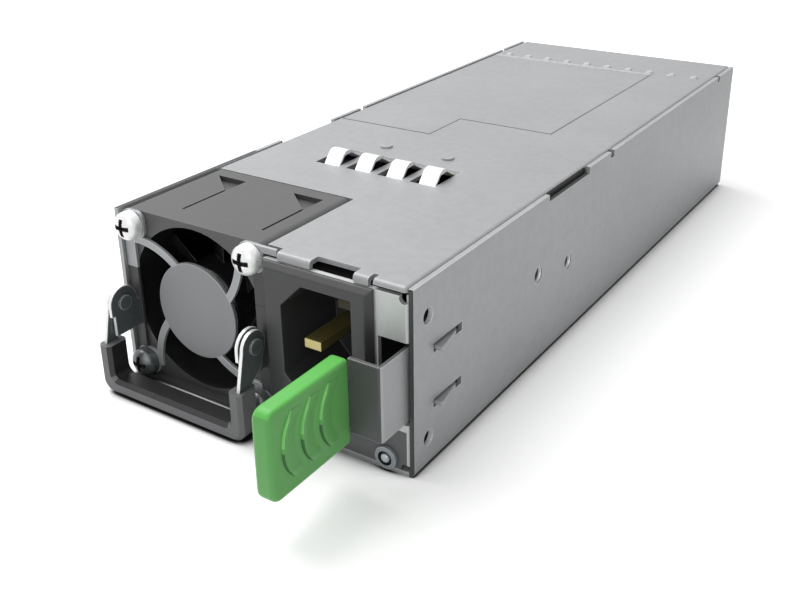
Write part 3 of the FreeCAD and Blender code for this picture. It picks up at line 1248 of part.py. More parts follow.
for number, (y, z) in enumerate(rivet_points):
    shank = prism("latch_rivet_shank_" + str(number), "X", (right_inside - d.latch_sheet, y, z),
                  d.latch_rivet_shank, d.latch_sheet)
    foot = prism("latch_rivet_foot_" + str(number), "X",
                 (right_inside - d.latch_sheet - d.pivot_head, y, z), d.latch_rivet_head, d.pivot_head, 12)
    head = prism("latch_rivet_head_" + str(number), "X", (right_inside, y, z), d.latch_rivet_head,
                 d.latch_rivet_rise, 16)
    latch_rivets.append(fuse("latch_rivet_" + str(number), [shank, foot, head]))
keep(group("wall_rivets", latch_rivets), "latch_rivets")

# Release tab: a rounded slab with three curved thumb treads on its outer face
slab = new_body("slab")
slab_rect = rectangle(along_x(slab, "slab_outline", tab_left), (tab_front, d.tab_base),
                      (latch_front + d.latch_sheet, d.tab_base + d.tab_height))
pad(slab, "slab_pad", slab_rect, d.tab_thick)
shape = tip_shape(slab)
round_edges(slab, "slab_corners", d.tab_round, edges_where(shape, "x", y=tab_front))
shape = tip_shape(slab)
rims = []
for number, edge in enumerate(shape.Edges, start=1):
    bounds = edge.BoundBox
    if bounds.XLength < 0.01 and bounds.YMin < (latch_front + d.latch_sheet).value - 0.01:
        rims.append("Edge" + str(number))
round_edges(slab, "slab_rims", d.tab_chamfer, rims, "PartDesign::Chamfer")
for number in range(3):
    edge_y = tab_front + d.tread_start + d.tread_pitch * number
    half = d.tread_height / 2
    rise = d.tread_bow
    tread = outline(along_x(slab, "tread_outline_" + str(number), bracket_left - d.wall / 2), [
        (edge_y + rise, tab_middle - half), (edge_y + rise, tab_middle + half),
        (edge_y + rise + d.tread_width, tab_middle + half),
        (edge_y + rise + d.tread_width, tab_middle - half)],
        {0: (edge_y, tab_middle, arc_radius(half, rise)),
         2: (edge_y + d.tread_width, tab_middle, arc_radius(half, rise))})
    pad(slab, "tread_" + str(number), tread, d.tread_rise + d.wall / 2)
slot = rectangle(along_x(slab, "slab_slot_outline", tang_left),
                 (latch_front - d.tang_length, tang_low), (latch_front + d.latch_sheet + d.over, tang_high))
pocket(slab, "slab_slot", slot, d.latch_sheet, reverse=True)
throat = rectangle(along_y(slab, "slab_throat_outline", latch_front), (tang_left, tang_low),
                   (bracket_left + d.over, tang_high))
pocket(slab, "slab_throat", throat, d.latch_sheet)
keep(slab, "release_tab")

flange_y = front - d.flange_screw_head
flange_head = prism("flange_head", "Y", (right - d.flange_screw_inset, flange_y, d.flange_screw_z),
                    d.flange_screw_head_radius, d.flange_screw_head, 24)
flange_shank = prism("flange_shank", "Y", (right - d.flange_screw_inset, front, d.flange_screw_z),
                     d.flange_screw_radius, d.flange_screw_length)
flange_socket = prism("flange_socket", "Y", (right - d.flange_screw_inset, flange_y, d.flange_screw_z),
                      d.flange_screw_radius, d.flange_screw_head / 2, 6)
flange_blank = fuse("flange_blank", [flange_head, flange_shank])
keep(cut("flange_screw_cut", flange_blank, [flange_socket]), "flange_screw")

# Rear wall with hexagonal vent holes and a slot for the card edge
grille_y = rear - d.grille_inset - d.wall
grille = new_body("grille")
wall_outline = outline(along_y(grille, "grille_outline", grille_y), [
    (left_inside + fold_room, d.wall), (right_inside - fold_room, d.wall),
    (right_inside, d.wall + fold_room),
    (right_inside, under), (left_inside, under), (left_inside, d.wall + fold_room)])
pad(grille, "grille_plate", wall_outline, d.wall, reverse=True)
card_slot = rectangle(along_y(grille, "card_slot_outline", grille_y),
                      (-d.tongue_width / 2 - d.card_gap, board_low - d.card_gap),
                      (d.tongue_width / 2 + d.card_gap, board_high + d.card_gap))
pocket(grille, "card_slot", card_slot, d.wall)
first_x = -d.mesh_pitch * (d.mesh_columns - 1) / 2
first_z = under - d.mesh_pitch * d.mesh_rows + d.wall
half_flat = d.mesh_flats / 2
point = d.mesh_flats / cosine(Size(30, "30")) / 2
hexagon = outline(along_y(grille, "mesh_outline", grille_y), [
    (first_x - half_flat, first_z - point / 2), (first_x, first_z - point),
    (first_x + half_flat, first_z - point / 2), (first_x + half_flat, first_z + point / 2),
    (first_x, first_z + point), (first_x - half_flat, first_z + point / 2)])
hexagon = pocket(grille, "mesh_hole", hexagon, d.wall)
pattern(grille, "mesh", [hexagon], "X_Axis", d.mesh_pitch, d.mesh_columns,
        ("Z_Axis", d.mesh_pitch, d.mesh_rows))
keep(grille, "rear_grille")

# Main board with its card edge, on standoffs over an insulating sheet
board_left = left_inside + d.board_side_gap
board_right = right_inside - d.board_side_gap
board_front = front + d.board_start
board_rear = grille_y - d.wall
half_tongue = d.tongue_width / 2
post_points = [(x, y) for x in (board_left + d.post_inset, board_right - d.post_inset)
               for y in (board_front + d.post_inset, board_front + d.post_middle, board_rear - d.post_inset)]
board = new_body("board")
board_outline = outline(along_z(board, "board_outline", board_low), [
    (board_left, board_front), (board_right, board_front), (board_right, board_rear),
    (half_tongue, board_rear), (half_tongue, rear + d.tongue_reach), (-half_tongue, rear + d.tongue_reach),
    (-half_tongue, board_rear), (board_left, board_rear)])
for x, y in post_points:
    polygon(board_outline, x, y, d.board_screw_radius)
pad(board, "board_pad", board_outline, d.board_thickness)
keep(board, "main_board")
pads = []
for number in range(int(d.pad_count.value)):
    x = (Size(number, str(number)) - (d.pad_count - 1) / 2) * d.pad_pitch
    for side, z in (("top", board_high), ("low", board_low - d.pad_thickness)):
        pads.append(box("pad_" + side + str(number),
                        (x - d.pad_width / 2, rear + d.tongue_reach - d.pad_length - d.seam, z),
                        (x + d.pad_width / 2, rear + d.tongue_reach - d.seam, z + d.pad_thickness)))
keep(group("card_pads", pads), "edge_contacts")
sheet_body = new_body("liner")
liner = rectangle(along_z(sheet_body, "liner_outline", d.wall),
                  (board_left, board_front), (board_right, board_rear))
for x, y in post_points:
    polygon(liner, x, y, d.post_radius, 6)
pad(sheet_body, "liner_pad", liner, d.sheet_thickness)
keep(sheet_body, "insulating_sheet")
posts, heads = [], []
for number, (x, y) in enumerate(post_points):
    post = prism("post_" + str(number), "Z", (x, y, d.wall), d.post_radius, d.board_lift, 6)
    hole = prism("post_hole_" + str(number), "Z", (x, y, d.wall * 2), d.board_screw_radius, d.board_lift)
    posts.append(cut("standoff_" + str(number), post, [hole]))
    shank = prism("board_screw_shank_" + str(number), "Z", (x, y, board_low - d.wall),
                  d.board_screw_radius, d.board_thickness + d.wall)
    head = prism("board_screw_head_" + str(number), "Z", (x, y, board_high),
                 d.board_screw_radius * 2, d.wall * 3 / 2)
    heads.append(fuse("board_screw_" + str(number), [shank, head]))
keep(group("posts", posts), "board_standoffs")
keep(group("screw_set", heads), "board_screws")


# The bulk capacitor fills the height under the cover, and the line parts stand beside it
capacitor_radius = (under - d.capacitor_headroom - board_high) / 2
capacitor_x = left_inside + d.capacitor_side + capacitor_radius
capacitor_right = capacitor_x + capacitor_radius
keep(prism("can", "Y", (capacitor_x, front + d.capacitor_start, board_high + capacitor_radius),
           capacitor_radius, d.capacitor_length, 32), "bulk_capacitor")
pfc_radius = (under - d.pfc_headroom - board_high) / 2
keep(wound_ring("pfc_ring", (capacitor_x, front + d.pfc_y, board_high + pfc_radius),
                pfc_radius - d.pfc_coil_radius, d.pfc_coil_radius), "pfc_choke")
filter_right = right_inside - d.filter_side
filter_radius = (filter_right - d.filter_gap - capacitor_right) / 2
keep(wound_ring("filter_ring",
                (filter_right - filter_radius, front + d.filter_y, board_high + filter_radius),
                filter_radius - d.filter_coil_radius, d.filter_coil_radius), "emi_choke")
for name, label, gap, side, y, length, height in (
        ("fuse_block", "input_fuse", d.fuse_gap, d.fuse_side, d.fuse_y, d.fuse_length, d.fuse_height),
        ("film_block", "x_capacitor", d.film_gap, d.film_side, d.film_y, d.film_length, d.film_height),
        ("relay_block", "inrush_relay", d.relay_gap, d.relay_side, d.relay_y, d.relay_length,
         d.relay_height)):
    keep(box(name, (capacitor_right + gap, front + y, board_high),
             (right_inside - side, front + y + length, board_high + height)), label)

# Heat sinks: a plate with a comb of fins, and the devices clamped to it
sink_left = left + d.sink_x
sink_low = board_high + d.sink_lift
control_right = right_inside - d.control_side
fin_depth = control_right - d.control_sheet - d.fin_room - sink_left - d.sink_plate
sink_height = under - d.sink_headroom - sink_low
cans_front = rear - d.can_y - d.can_radius


def heat_sink(name, x, y, length):
    count = int((length / d.fin_spacing).value) + 1
    sink = new_body(name, (x, y, sink_low))
    plate = rectangle(along_x(sink, name + "_plate_outline", 0), (0, 0), (length, sink_height))
    pad(sink, name + "_plate", plate, d.sink_plate)
    fin = rectangle(along_x(sink, name + "_fin_outline", d.sink_plate),
                    (0, 0), (d.fin_thickness, sink_height))
    fin = pad(sink, name + "_fin", fin, fin_depth)
    pattern(sink, name + "_fins", [fin], "Y_Axis", (length - d.fin_thickness) / (count - 1), count)
    feet = rectangle(along_z(sink, name + "_feet_outline", 0), (0, 0), (d.sink_plate, d.sink_foot))
    feet = pad(sink, name + "_foot", feet, d.sink_lift, reverse=True)
    pattern(sink, name + "_feet", [feet], "Y_Axis", length - d.sink_foot, Size(2, "2"))
    return sink


primary_y = front + d.sink_start
second_y = cans_front - d.seam - d.second_sink_length
primary_length = second_y - d.sink_spacing - primary_y
keep(heat_sink("primary_sink", sink_left, primary_y, primary_length), "heat_sink_primary")
keep(heat_sink("second_sink", sink_left, second_y, d.second_sink_length), "heat_sink_secondary")
device_low = board_high + d.device_lift
bridge_y = primary_y + d.device_inset
keep(fuse("bridge", [
    box("bridge_block", (sink_left - d.device_thickness, bridge_y, device_low),
        (sink_left, bridge_y + d.bridge_width, device_low + d.device_height)),
    box("bridge_leads", (sink_left - d.device_thickness / 2, bridge_y + d.wall, board_high),
        (sink_left - d.device_thickness / 2 + d.wall / 2, bridge_y + d.bridge_width - d.wall, device_low))]),
    "bridge_rectifier")
transistors = []
first_transistor = d.device_inset + d.bridge_width + d.device_inset
for number in range(int(((primary_length - first_transistor) / d.transistor_pitch).value)):
    y = primary_y + first_transistor + d.transistor_pitch * number
    case = box("transistor_case_" + str(number), (sink_left - d.device_thickness, y, device_low),
               (sink_left, y + d.transistor_width, device_low + d.device_height))
    legs = box("transistor_legs_" + str(number),
               (sink_left - d.device_thickness / 2, y + d.wall, board_high),
               (sink_left - d.device_thickness / 2 + d.wall / 2, y + d.transistor_width - d.wall,
                device_low))
    transistors.append(fuse("transistor_" + str(number), [case, legs]))
keep(group("transistor_row", transistors), "power_transistors")

# Transformer: a closed core round a wound bobbin
core_left = left + d.transformer_x
core_front = front + d.transformer_y
core_right = core_left + d.core_width
core_rear = core_front + d.core_depth
leg = d.core_leg
core_top = under - d.core_headroom
core_block = box("core_block", (core_left, core_front, board_high), (core_right, core_rear, core_top))
core_windows = [
    box("core_window_a", (core_left + leg, core_front - d.over, board_high + leg),
        (core_left + leg * 2, core_rear + d.over, core_top - leg)),
    box("core_window_b", (core_right - leg * 2, core_front - d.over, board_high + leg),
        (core_right - leg, core_rear + d.over, core_top - leg))]
keep(cut("core", core_block, core_windows), "transformer_core")
wound = box("winding_block", (core_left + leg, core_front - leg, board_high + leg),
            (core_right - leg, core_rear + leg, core_top - leg))
centre_leg = box("winding_hole", (core_left + leg * 2, core_front, board_high + leg - d.over),
                 (core_right - leg * 2, core_rear, core_top - leg + d.over))
keep(cut("winding", wound, [centre_leg]), "transformer_winding")

cans = []
for column in range(int(d.can_columns.value)):
    for line in range(int(d.can_rows.value)):
        cans.append(prism("output_can_" + str(column) + str(line), "Z",
                          (left + d.can_x + d.can_pitch * column,
                           rear - d.can_y + d.can_pitch * line, board_high),
                          d.can_radius, d.can_height, 12))
keep(group("output_cans", cans), "output_capacitors")
bars = []
for number, sign in enumerate((-1, 1)):
    x = d.busbar_spacing * sign / 2
    upright = box("busbar_upright_" + str(number), (x - d.busbar_width / 2, rear - d.busbar_y, board_high),
                  (x + d.busbar_width / 2, rear - d.busbar_y + d.busbar_sheet, board_high + d.busbar_height))
    flat = box("busbar_flat_" + str(number), (x - d.busbar_width / 2, rear - d.busbar_y, board_high),
               (x + d.busbar_width / 2, rear - d.busbar_y + d.busbar_length, board_high + d.busbar_sheet))
    bars.append(fuse("busbar_" + str(number), [upright, flat]))
keep(group("busbars", bars), "output_busbars")
keep(box("control_block", (control_right - d.control_sheet, front + d.control_y, board_high),
         (control_right, front + d.control_y + d.control_length, board_high + d.control_height)),
     "control_board")


def wire(name, points, radius):
    """A wire through points joined by lines along the axes, with a small block at each corner."""
    parts = []
    for number in range(len(points) - 1):
        start, end = points[number], points[number + 1]
        steps = [as_size(end[i]).value - as_size(start[i]).value for i in range(3)]
        axis = max(range(3), key=lambda i: abs(steps[i]))
        low, high = (start, end) if steps[axis] > 0 else (end, start)
        parts.append(prism(name + "_run_" + str(number), "XYZ"[axis], low, radius,
                           as_size(high[axis]) - low[axis], 6))
        if number:
            corner = [as_size(value) for value in start]
            parts.append(box(name + "_corner_" + str(number), [value - radius for value in corner],
                             [value + radius for value in corner]))
    return fuse(name, parts)


plug_x = fan_right - d.plug_length
plug_y = front + d.board_start + d.plug_inset
keep(box("plug", (plug_x, plug_y, board_high),
         (plug_x + d.plug_length, plug_y + d.plug_width, board_high + d.plug_height)), "fan_connector")
lead_z = fan_z + d.lead_rise
leads = []
for number in range(2):
    x = fan_right - d.wire_inset - d.wire_pitch * number
    leads.append(wire("fan_wire_" + str(number), [
        (x, fan_back, lead_z), (x, plug_y + d.plug_width / 2, lead_z),
        (x, plug_y + d.plug_width / 2, board_high + d.plug_height)], d.wire_radius))
keep(group("fan_wires", leads), "fan_lead")
supply = []
for number in range(2):
    x = body_left + d.supply_inset + d.supply_pitch * number
    start_y = inlet_back + d.inlet_board_sheet
    supply.append(wire("supply_wire_" + str(number), [
        (x, start_y, d.supply_height), (x, board_front + d.supply_reach, d.supply_height),
        (x, board_front + d.supply_reach, board_high)], d.wire_radius))
keep(group("supply_wires", supply), "input_leads")

doc.recompute()
for thing in doc.Objects:
    if "Invalid" in thing.State or "Error" in thing.State:
        raise SystemExit("not built: " + thing.Name + " " + str(thing.State))
for node in NODES:
    if node.Shape.isNull() or not node.Shape.isValid():
        raise SystemExit("no sound shape: " + node.Label)
os.makedirs("parts", exist_ok=True)
for node in NODES:
    node.Shape.exportStep("parts/" + node.Label + ".step")
print(len(NODES), "nodes written")
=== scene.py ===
import json
import math
from collections import namedtuple

import bmesh
import bpy
from mathutils import Matrix, Vector


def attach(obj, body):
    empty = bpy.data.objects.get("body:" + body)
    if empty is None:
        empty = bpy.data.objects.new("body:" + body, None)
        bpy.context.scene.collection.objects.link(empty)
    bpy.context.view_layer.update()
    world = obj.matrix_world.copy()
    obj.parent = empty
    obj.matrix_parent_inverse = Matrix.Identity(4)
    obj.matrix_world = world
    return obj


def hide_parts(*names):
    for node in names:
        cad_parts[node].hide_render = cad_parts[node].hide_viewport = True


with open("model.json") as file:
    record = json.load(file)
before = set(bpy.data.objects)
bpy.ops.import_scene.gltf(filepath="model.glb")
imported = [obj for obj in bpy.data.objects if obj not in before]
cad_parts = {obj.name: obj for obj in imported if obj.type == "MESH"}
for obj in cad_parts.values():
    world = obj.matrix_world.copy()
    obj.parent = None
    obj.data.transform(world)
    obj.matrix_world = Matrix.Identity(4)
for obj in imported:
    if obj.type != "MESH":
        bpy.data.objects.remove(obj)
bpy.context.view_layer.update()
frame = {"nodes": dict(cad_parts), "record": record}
NODES = frame["nodes"]
SLOT_OF = {part["node"]: part["material_slot"] for part in frame["record"]["subparts"]}
BODY_OF = {node: body for body, nodes in frame["record"]["behaviour"]["bodies"].items()
           for node in nodes}
SCENE = bpy.context.scene

# The case in millimetres, measured from its front left lower corner
WIDE, LONG, HIGH = 73.5, 185.0, 39.0
FAN_X, FAN_Z = 20.2, 20.0


def at(x, y, z):
    """A point in millimetres from the case's front left lower corner, in the shared frame."""
    return Vector((x - WIDE / 2, y - LONG / 2, z)) / 1000


# Camera, solved from the photograph's straight edges: its angles, the point in millimetres that it
# looks at and how far off that is, and its focal length and centre in pixels
AZIMUTH, ELEVATION, ROLL = math.radians(33.34), math.radians(23.15), math.radians(-0.65)
AIM, DISTANCE = (71.62, 0, 48.66), 168.72
FOCAL, CENTRE = 1009.03, (403.47, 236.05)
PHOTO_WIDE, PHOTO_HIGH = 800, 600
SENSOR, CLIP_START = 36, 0.005

toward = Vector((math.sin(AZIMUTH) * math.cos(ELEVATION), -math.cos(AZIMUTH) * math.cos(ELEVATION),
                 math.sin(ELEVATION)))
camera_data = bpy.data.cameras.new("camera")
camera_data.sensor_width = SENSOR
camera_data.lens = SENSOR * FOCAL / PHOTO_WIDE
camera_data.shift_x = (PHOTO_WIDE / 2 - CENTRE[0]) / PHOTO_WIDE
camera_data.shift_y = (CENTRE[1] - PHOTO_HIGH / 2) / PHOTO_WIDE
camera_data.clip_start = CLIP_START
camera = bpy.data.objects.new("camera", camera_data)
SCENE.collection.objects.link(camera)
side = Vector((math.cos(AZIMUTH), math.sin(AZIMUTH), 0))
up = side.cross(-toward)
right = side * math.cos(ROLL) + up * math.sin(ROLL)
above = up * math.cos(ROLL) - side * math.sin(ROLL)
facing = Matrix((right, above, toward)).transposed().to_4x4()
camera.matrix_world = Matrix.Translation(at(*AIM) + toward * DISTANCE / 1000) @ facing
SCENE.camera = camera


def ranged(tree, value, start, end, low, high):
    """A value carried over from the range between start and end to the one between low and high."""
    node = tree.nodes.new("ShaderNodeMapRange")
    node.inputs["From Min"].default_value = start
    node.inputs["From Max"].default_value = end
    node.inputs["To Min"].default_value = low
    node.inputs["To Max"].default_value = high
    tree.links.new(value, node.inputs["Value"])
    return node.outputs[0]


def joined(tree, operation, a, b):
    """Two values put together by an operation."""
    node = tree.nodes.new("ShaderNodeMath")
    node.operation = operation
    tree.links.new(a, node.inputs[0])
    tree.links.new(b, node.inputs[1])
    return node.outputs[0]


def grey(tree, level):
    """A colour with the same level in its three channels."""
    node = tree.nodes.new("ShaderNodeCombineColor")
    for socket in node.inputs[:3]:
        tree.links.new(level, socket)
    return node.outputs[0]


# How a finish varies: steps of its grain in a metre along each axis, and how much the grain changes
# its tone, its roughness and its relief, and slow blotches its tone
Texture = namedtuple("Texture", "grain tint rough_change bump blotch")
EVEN = Texture((900, 900, 900), 0.06, 0.08, 0.05, 0.05)
CASE = Texture((2600, 500, 2600), 0.03, 0.05, 0.05, 0.04)
SPRING = Texture((400, 1500, 1500), 0.03, 0.05, 0.02, 0.03)
LATCH = Texture((1500, 1500, 700), 0.04, 0.06, 0.04, 0.06)
INLET_SHEET = Texture((2500, 2500, 700), 0.04, 0.06, 0.05, 0.06)
PRESSED = Texture((1800, 1800, 1800), 0.04, 0.06, 0.03, 0.05)
PLATED = Texture((1500, 1500, 1500), 0.03, 0.04, 0.01, 0.03)
CONTACT = Texture((900, 3000, 900), 0.03, 0.05, 0.02, 0.05)
MATT = Texture((2500, 2500, 2500), 0.1, 0.06, 0.05, 0.1)
FAN = Texture((3500, 3500, 3500), 0.1, 0.08, 0.1, 0.08)
MOULDED = Texture((3000, 3000, 3000), 0.1, 0.08, 0.1, 0.06)
TAB = Texture((2600, 2600, 2600), 0.02, 0.04, 0.01, 0.06)
BOARD = Texture((1200, 1200, 1200), 0.12, 0.06, 0.05, 0.1)
COIL = Texture((6000, 300, 6000), 0.25, 0.08, 0.4, 0.05)
IRON = Texture((900, 900, 900), 0.06, 0.08, 0.2, 0.05)
EXTRUDED = Texture((3000, 300, 3000), 0.06, 0.08, 0.05, 0.05)

FINE_DETAIL, SLOW_SCALE, SLOW_DETAIL, SPOT_SCALE = 5, 35, 3, 620
NOISE_LOW, NOISE_HIGH = 0.3, 0.7
WEAR_WIDTH, WEAR_SAMPLES = 0.0004, 4
WEAR_START, WEAR_FULL, WEAR_LEAST = 0.995, 0.85, 0.6
RELIEF, COAT_ROUGH = 0.0001, 0.15


def surface(name, colour, metallic, rough, texture, wear=0.0, wear_colour=None,
            coat=0.0, spots=0.0, gloss=0.5):
    """A finish with fine grain, slow changes of tone, slight relief and worn edges."""
    material = bpy.data.materials.new(name)
    material.use_nodes = True
    tree = material.node_tree
    tree.nodes.clear()
    new, link = tree.nodes.new, tree.links.new
    out = new("ShaderNodeOutputMaterial")
    shader = new("ShaderNodeBsdfPrincipled")
    link(shader.outputs[0], out.inputs[0])
    shader.inputs["Metallic"].default_value = metallic
    shader.inputs["Specular IOR Level"].default_value = gloss
    shader.inputs["Coat Weight"].default_value = coat
    shader.inputs["Coat Roughness"].default_value = COAT_ROUGH
    place = new("ShaderNodeTexCoord")
    stretch = new("ShaderNodeMapping")
    stretch.inputs["Scale"].default_value = texture.grain
    link(place.outputs["Object"], stretch.inputs["Vector"])
    fine = new("ShaderNodeTexNoise")
    fine.inputs["Scale"].default_value = 1
    fine.inputs["Detail"].default_value = FINE_DETAIL
    link(stretch.outputs[0], fine.inputs["Vector"])
    slow = new("ShaderNodeTexNoise")
    slow.inputs["Scale"].default_value = SLOW_SCALE
    slow.inputs["Detail"].default_value = SLOW_DETAIL
    link(place.outputs["Object"], slow.inputs["Vector"])

    def spread(value, low, high):
        return ranged(tree, value, NOISE_LOW, NOISE_HIGH, low, high)

    def about(value, change):
        return spread(value, 1 - change, 1 + change)

    def blend(factor, a, b, kind="MIX"):
        node = new("ShaderNodeMix")
        node.data_type = "RGBA"
        node.blend_type = kind
        for value, socket in ((factor, node.inputs[0]), (a, node.inputs[6]), (b, node.inputs[7])):
            if hasattr(value, "is_linked"):
                link(value, socket)
            else:
                socket.default_value = value
        return node.outputs[2]

    tone = joined(tree, "MULTIPLY", about(fine.outputs[0], texture.tint),
                  about(slow.outputs[0], texture.blotch))
    shade = blend(1.0, (*colour, 1), grey(tree, tone), "MULTIPLY")
    if spots:
        cells = new("ShaderNodeTexVoronoi")
        cells.inputs["Scale"].default_value = SPOT_SCALE
        link(place.outputs["Object"], cells.inputs["Vector"])
        value = new("ShaderNodeSeparateColor")
        link(cells.outputs["Color"], value.inputs[0])
        shade = blend(1.0, shade, grey(tree, about(value.outputs[0], spots)), "MULTIPLY")
    if wear:
        rounded_off = new("ShaderNodeBevel")
        rounded_off.samples = WEAR_SAMPLES
        rounded_off.inputs["Radius"].default_value = WEAR_WIDTH
        flat = new("ShaderNodeNewGeometry")
        dot = new("ShaderNodeVectorMath")
        dot.operation = "DOT_PRODUCT"
        link(rounded_off.outputs[0], dot.inputs[0])
        link(flat.outputs["Normal"], dot.inputs[1])
        edge = ranged(tree, dot.outputs["Value"], WEAR_START, WEAR_FULL, 0, wear)
        worn = joined(tree, "MULTIPLY", edge, spread(fine.outputs[0], WEAR_LEAST, 1.0))
        shade = blend(worn, shade, (*wear_colour, 1))
    link(shade, shader.inputs["Base Color"])
    link(spread(fine.outputs[0], rough - texture.rough_change, rough + texture.rough_change),
         shader.inputs["Roughness"])
    relief = new("ShaderNodeBump")
    relief.inputs["Strength"].default_value = texture.bump
    relief.inputs["Distance"].default_value = RELIEF
    link(fine.outputs[0], relief.inputs["Height"])
    link(relief.outputs[0], shader.inputs["Normal"])
    return material


# Finishes of the pieces that show: colour, metal share, roughness and texture, then edge wear
STEEL = surface("case_steel", (0.345, 0.35, 0.357), 0.3, 0.5, CASE,
                wear=0.5, wear_colour=(0.85, 0.85, 0.86), spots=0.02)
WALL_STEEL = surface("wall_steel", (0.385, 0.393, 0.4), 0.5, 0.45, CASE._replace(tint=0.035),
                     wear=0.6, wear_colour=(0.9, 0.9, 0.9), spots=0.02)
BRIGHT = surface("spring_steel", (0.92, 0.92, 0.92), 0.25, 0.4, SPRING,
                 wear=0.3, wear_colour=(1, 1, 1))
# Latch spring steel darkened as painted shade for its front and other faces
BRACKET_SHADE = surface("bracket_shaded_steel", (0.082, 0.084, 0.087), 0.3, 0.5, LATCH._replace(tint=0.05),
                  wear=0.6, wear_colour=(0.7, 0.7, 0.7))
PANEL = surface("panel_steel", (0.59, 0.5959, 0.6018), 0.4, 0.42, INLET_SHEET,
                wear=0.7, wear_colour=(0.85, 0.85, 0.85))
GUARD = surface("guard_steel", (0.3658, 0.3776, 0.3894), 0.35, 0.48, PRESSED._replace(bump=0.05),
                wear=0.6, wear_colour=(0.8, 0.8, 0.8))
DISC = surface("disc_steel", (0.25, 0.256, 0.264), 0.35, 0.48,
               PRESSED._replace(tint=0.02, rough_change=0.05, blotch=0.04),
               wear=0.5, wear_colour=(0.6, 0.6, 0.6))
# Bare metal of cut edges and hole rims, painted near white so that it is also a painted highlight
CUT_EDGE = surface("cut_edge", (0.92, 0.92, 0.92), 0.3, 0.4, PRESSED,
                   wear=0.3, wear_colour=(1, 1, 1))
# The same latch steel made lighter as painted light, for its faces towards +X
BRACKET_LIT_SIDE = surface("bracket_lit_side", (0.38, 0.386, 0.392), 0.4, 0.45, LATCH,
                       wear=0.5, wear_colour=(0.8, 0.8, 0.8))
SHADED_STEEL = surface("shaded_steel", (0.059, 0.059, 0.0614), 0.3, 0.5, LATCH)
# Black painted shade for the inside of the fan's duct and the grip's inner faces
SHADE_BLACK = surface("black_painted_shade", (0.0142, 0.0142, 0.0142), 0, 0.4, MATT)
FAN_FACE = surface("fan_face", (0.075, 0.075, 0.077), 0, 0.45, FAN,
                   wear=0.2, wear_colour=(0.2, 0.2, 0.2))
# Contact brass darkened as painted shade: for the pins' sides, and further for the outer pins deep
# in the socket
BRASS_SHADED_SIDE = surface("brass_shaded_side", (0.1888, 0.1534, 0.0531), 0.4, 0.45, CONTACT)
BRASS_SHADE = surface("brass_painted_shade", (0.04, 0.033, 0.014), 0.4, 0.45, CONTACT)
# Tread step faces of the release tab: painted shade on their lower part and a painted highlight on
# their upper part
TREAD_SHADE = surface("tab_tread_shade", (0.0236, 0.118, 0.0236), 0, 0.4,
                     TAB._replace(bump=0.02, blotch=0.1))
TREAD_HIGHLIGHT = surface("tab_tread_highlight", (0.1888, 0.59, 0.1416), 0, 0.3,
                      TAB._replace(bump=0.02, blotch=0.1))
# Lighter steel as a painted highlight on the cover's rear dimples
DIMPLE_HIGHLIGHT = surface("dimple_highlight_steel", (0.55, 0.555, 0.56), 0.3, 0.5, CASE)
# Dark steel as painted shade, for a thin strip at the edges of the cover's stepped area
STEP_SHADE = surface("cover_step_shade", (0.09, 0.092, 0.095), 0.3, 0.5, CASE)
# Front panel steel darkened as painted shade, for its lower part
PANEL_SHADE = surface("panel_painted_shade", (0.12, 0.123, 0.127), 0.3, 0.45, INLET_SHEET)
# The same latch steel made lighter as painted light, for the barbs through the wall
BARB_LIT = surface("barb_lit_steel", (0.4, 0.41, 0.415), 0.4, 0.45, LATCH._replace(tint=0.03, blotch=0.05))
# Black painted shade for notches, hole rims, rivet bores, screw cross recesses and the flange
# ring's bore
RECESS_SHADE = surface("recess_painted_shade", (0.0118, 0.0118, 0.0118), 0, 0.6, PRESSED)
RING = surface("ring_steel", (0.2596, 0.295, 0.3186), 0.4, 0.35, PRESSED,
               wear=0.6, wear_colour=(0.7, 0.75, 0.78))
RING_MIDDLE = surface("ring_middle", (0.5, 0.54, 0.57), 0.4, 0.35, PRESSED)
SLATE = surface("slate_steel", (0.1, 0.113, 0.12), 0.3, 0.4, PRESSED._replace(
    tint=0.06, rough_change=0.07, bump=0.05, blotch=0.08), wear=0.9, wear_colour=(0.85, 0.87, 0.88))
SCREW = surface("screw_plate", (0.92, 0.92, 0.92), 0.35, 0.33, PLATED,
                wear=0.3, wear_colour=(1, 1, 1))
# The screw plating darkened as painted shade, for the lower heads
SCREW_SHADE = surface("screw_shaded", (0.16, 0.17, 0.175), 0.5, 0.3, PLATED)
FAN_TOP = surface("fan_plastic", (0.074, 0.074, 0.076), 0, 0.45, FAN,
                  wear=0.3, wear_colour=(0.3, 0.3, 0.3))
BLADE_BLACK = surface("blade_plastic", (0.0142, 0.0142, 0.0153), 0, 0.22, MATT._replace(bump=0.04),
                      wear=0.15, wear_colour=(0.3, 0.3, 0.3))
GRIP = surface("grip_plastic", (0.1239, 0.1239, 0.1298), 0, 0.48, MOULDED._replace(bump=0.15),
               wear=0.25, wear_colour=(0.25, 0.25, 0.26))
INLET = surface("inlet_plastic", (0.042, 0.042, 0.044), 0, 0.42, MOULDED,
                wear=0.3, wear_colour=(0.25, 0.25, 0.25))
GREEN = surface("tab_plastic", (0.12, 0.38, 0.1), 0, 0.35, TAB, gloss=0.3)
# The tab's green made lighter as painted light, for its upward faces
GREEN_LIT_TOP = surface("tab_lit_top", (0.12, 0.5, 0.09), 0, 0.35, TAB, gloss=0.3)
BRASS = surface("contact_brass", (0.59, 0.5192, 0.236), 0.6, 0.4, CONTACT,
                wear=0.3, wear_colour=(0.8, 0.72, 0.4))
LAMINATE = surface("circuit_laminate", (0.0236, 0.1416, 0.059), 0, 0.3, BOARD, coat=0.4)

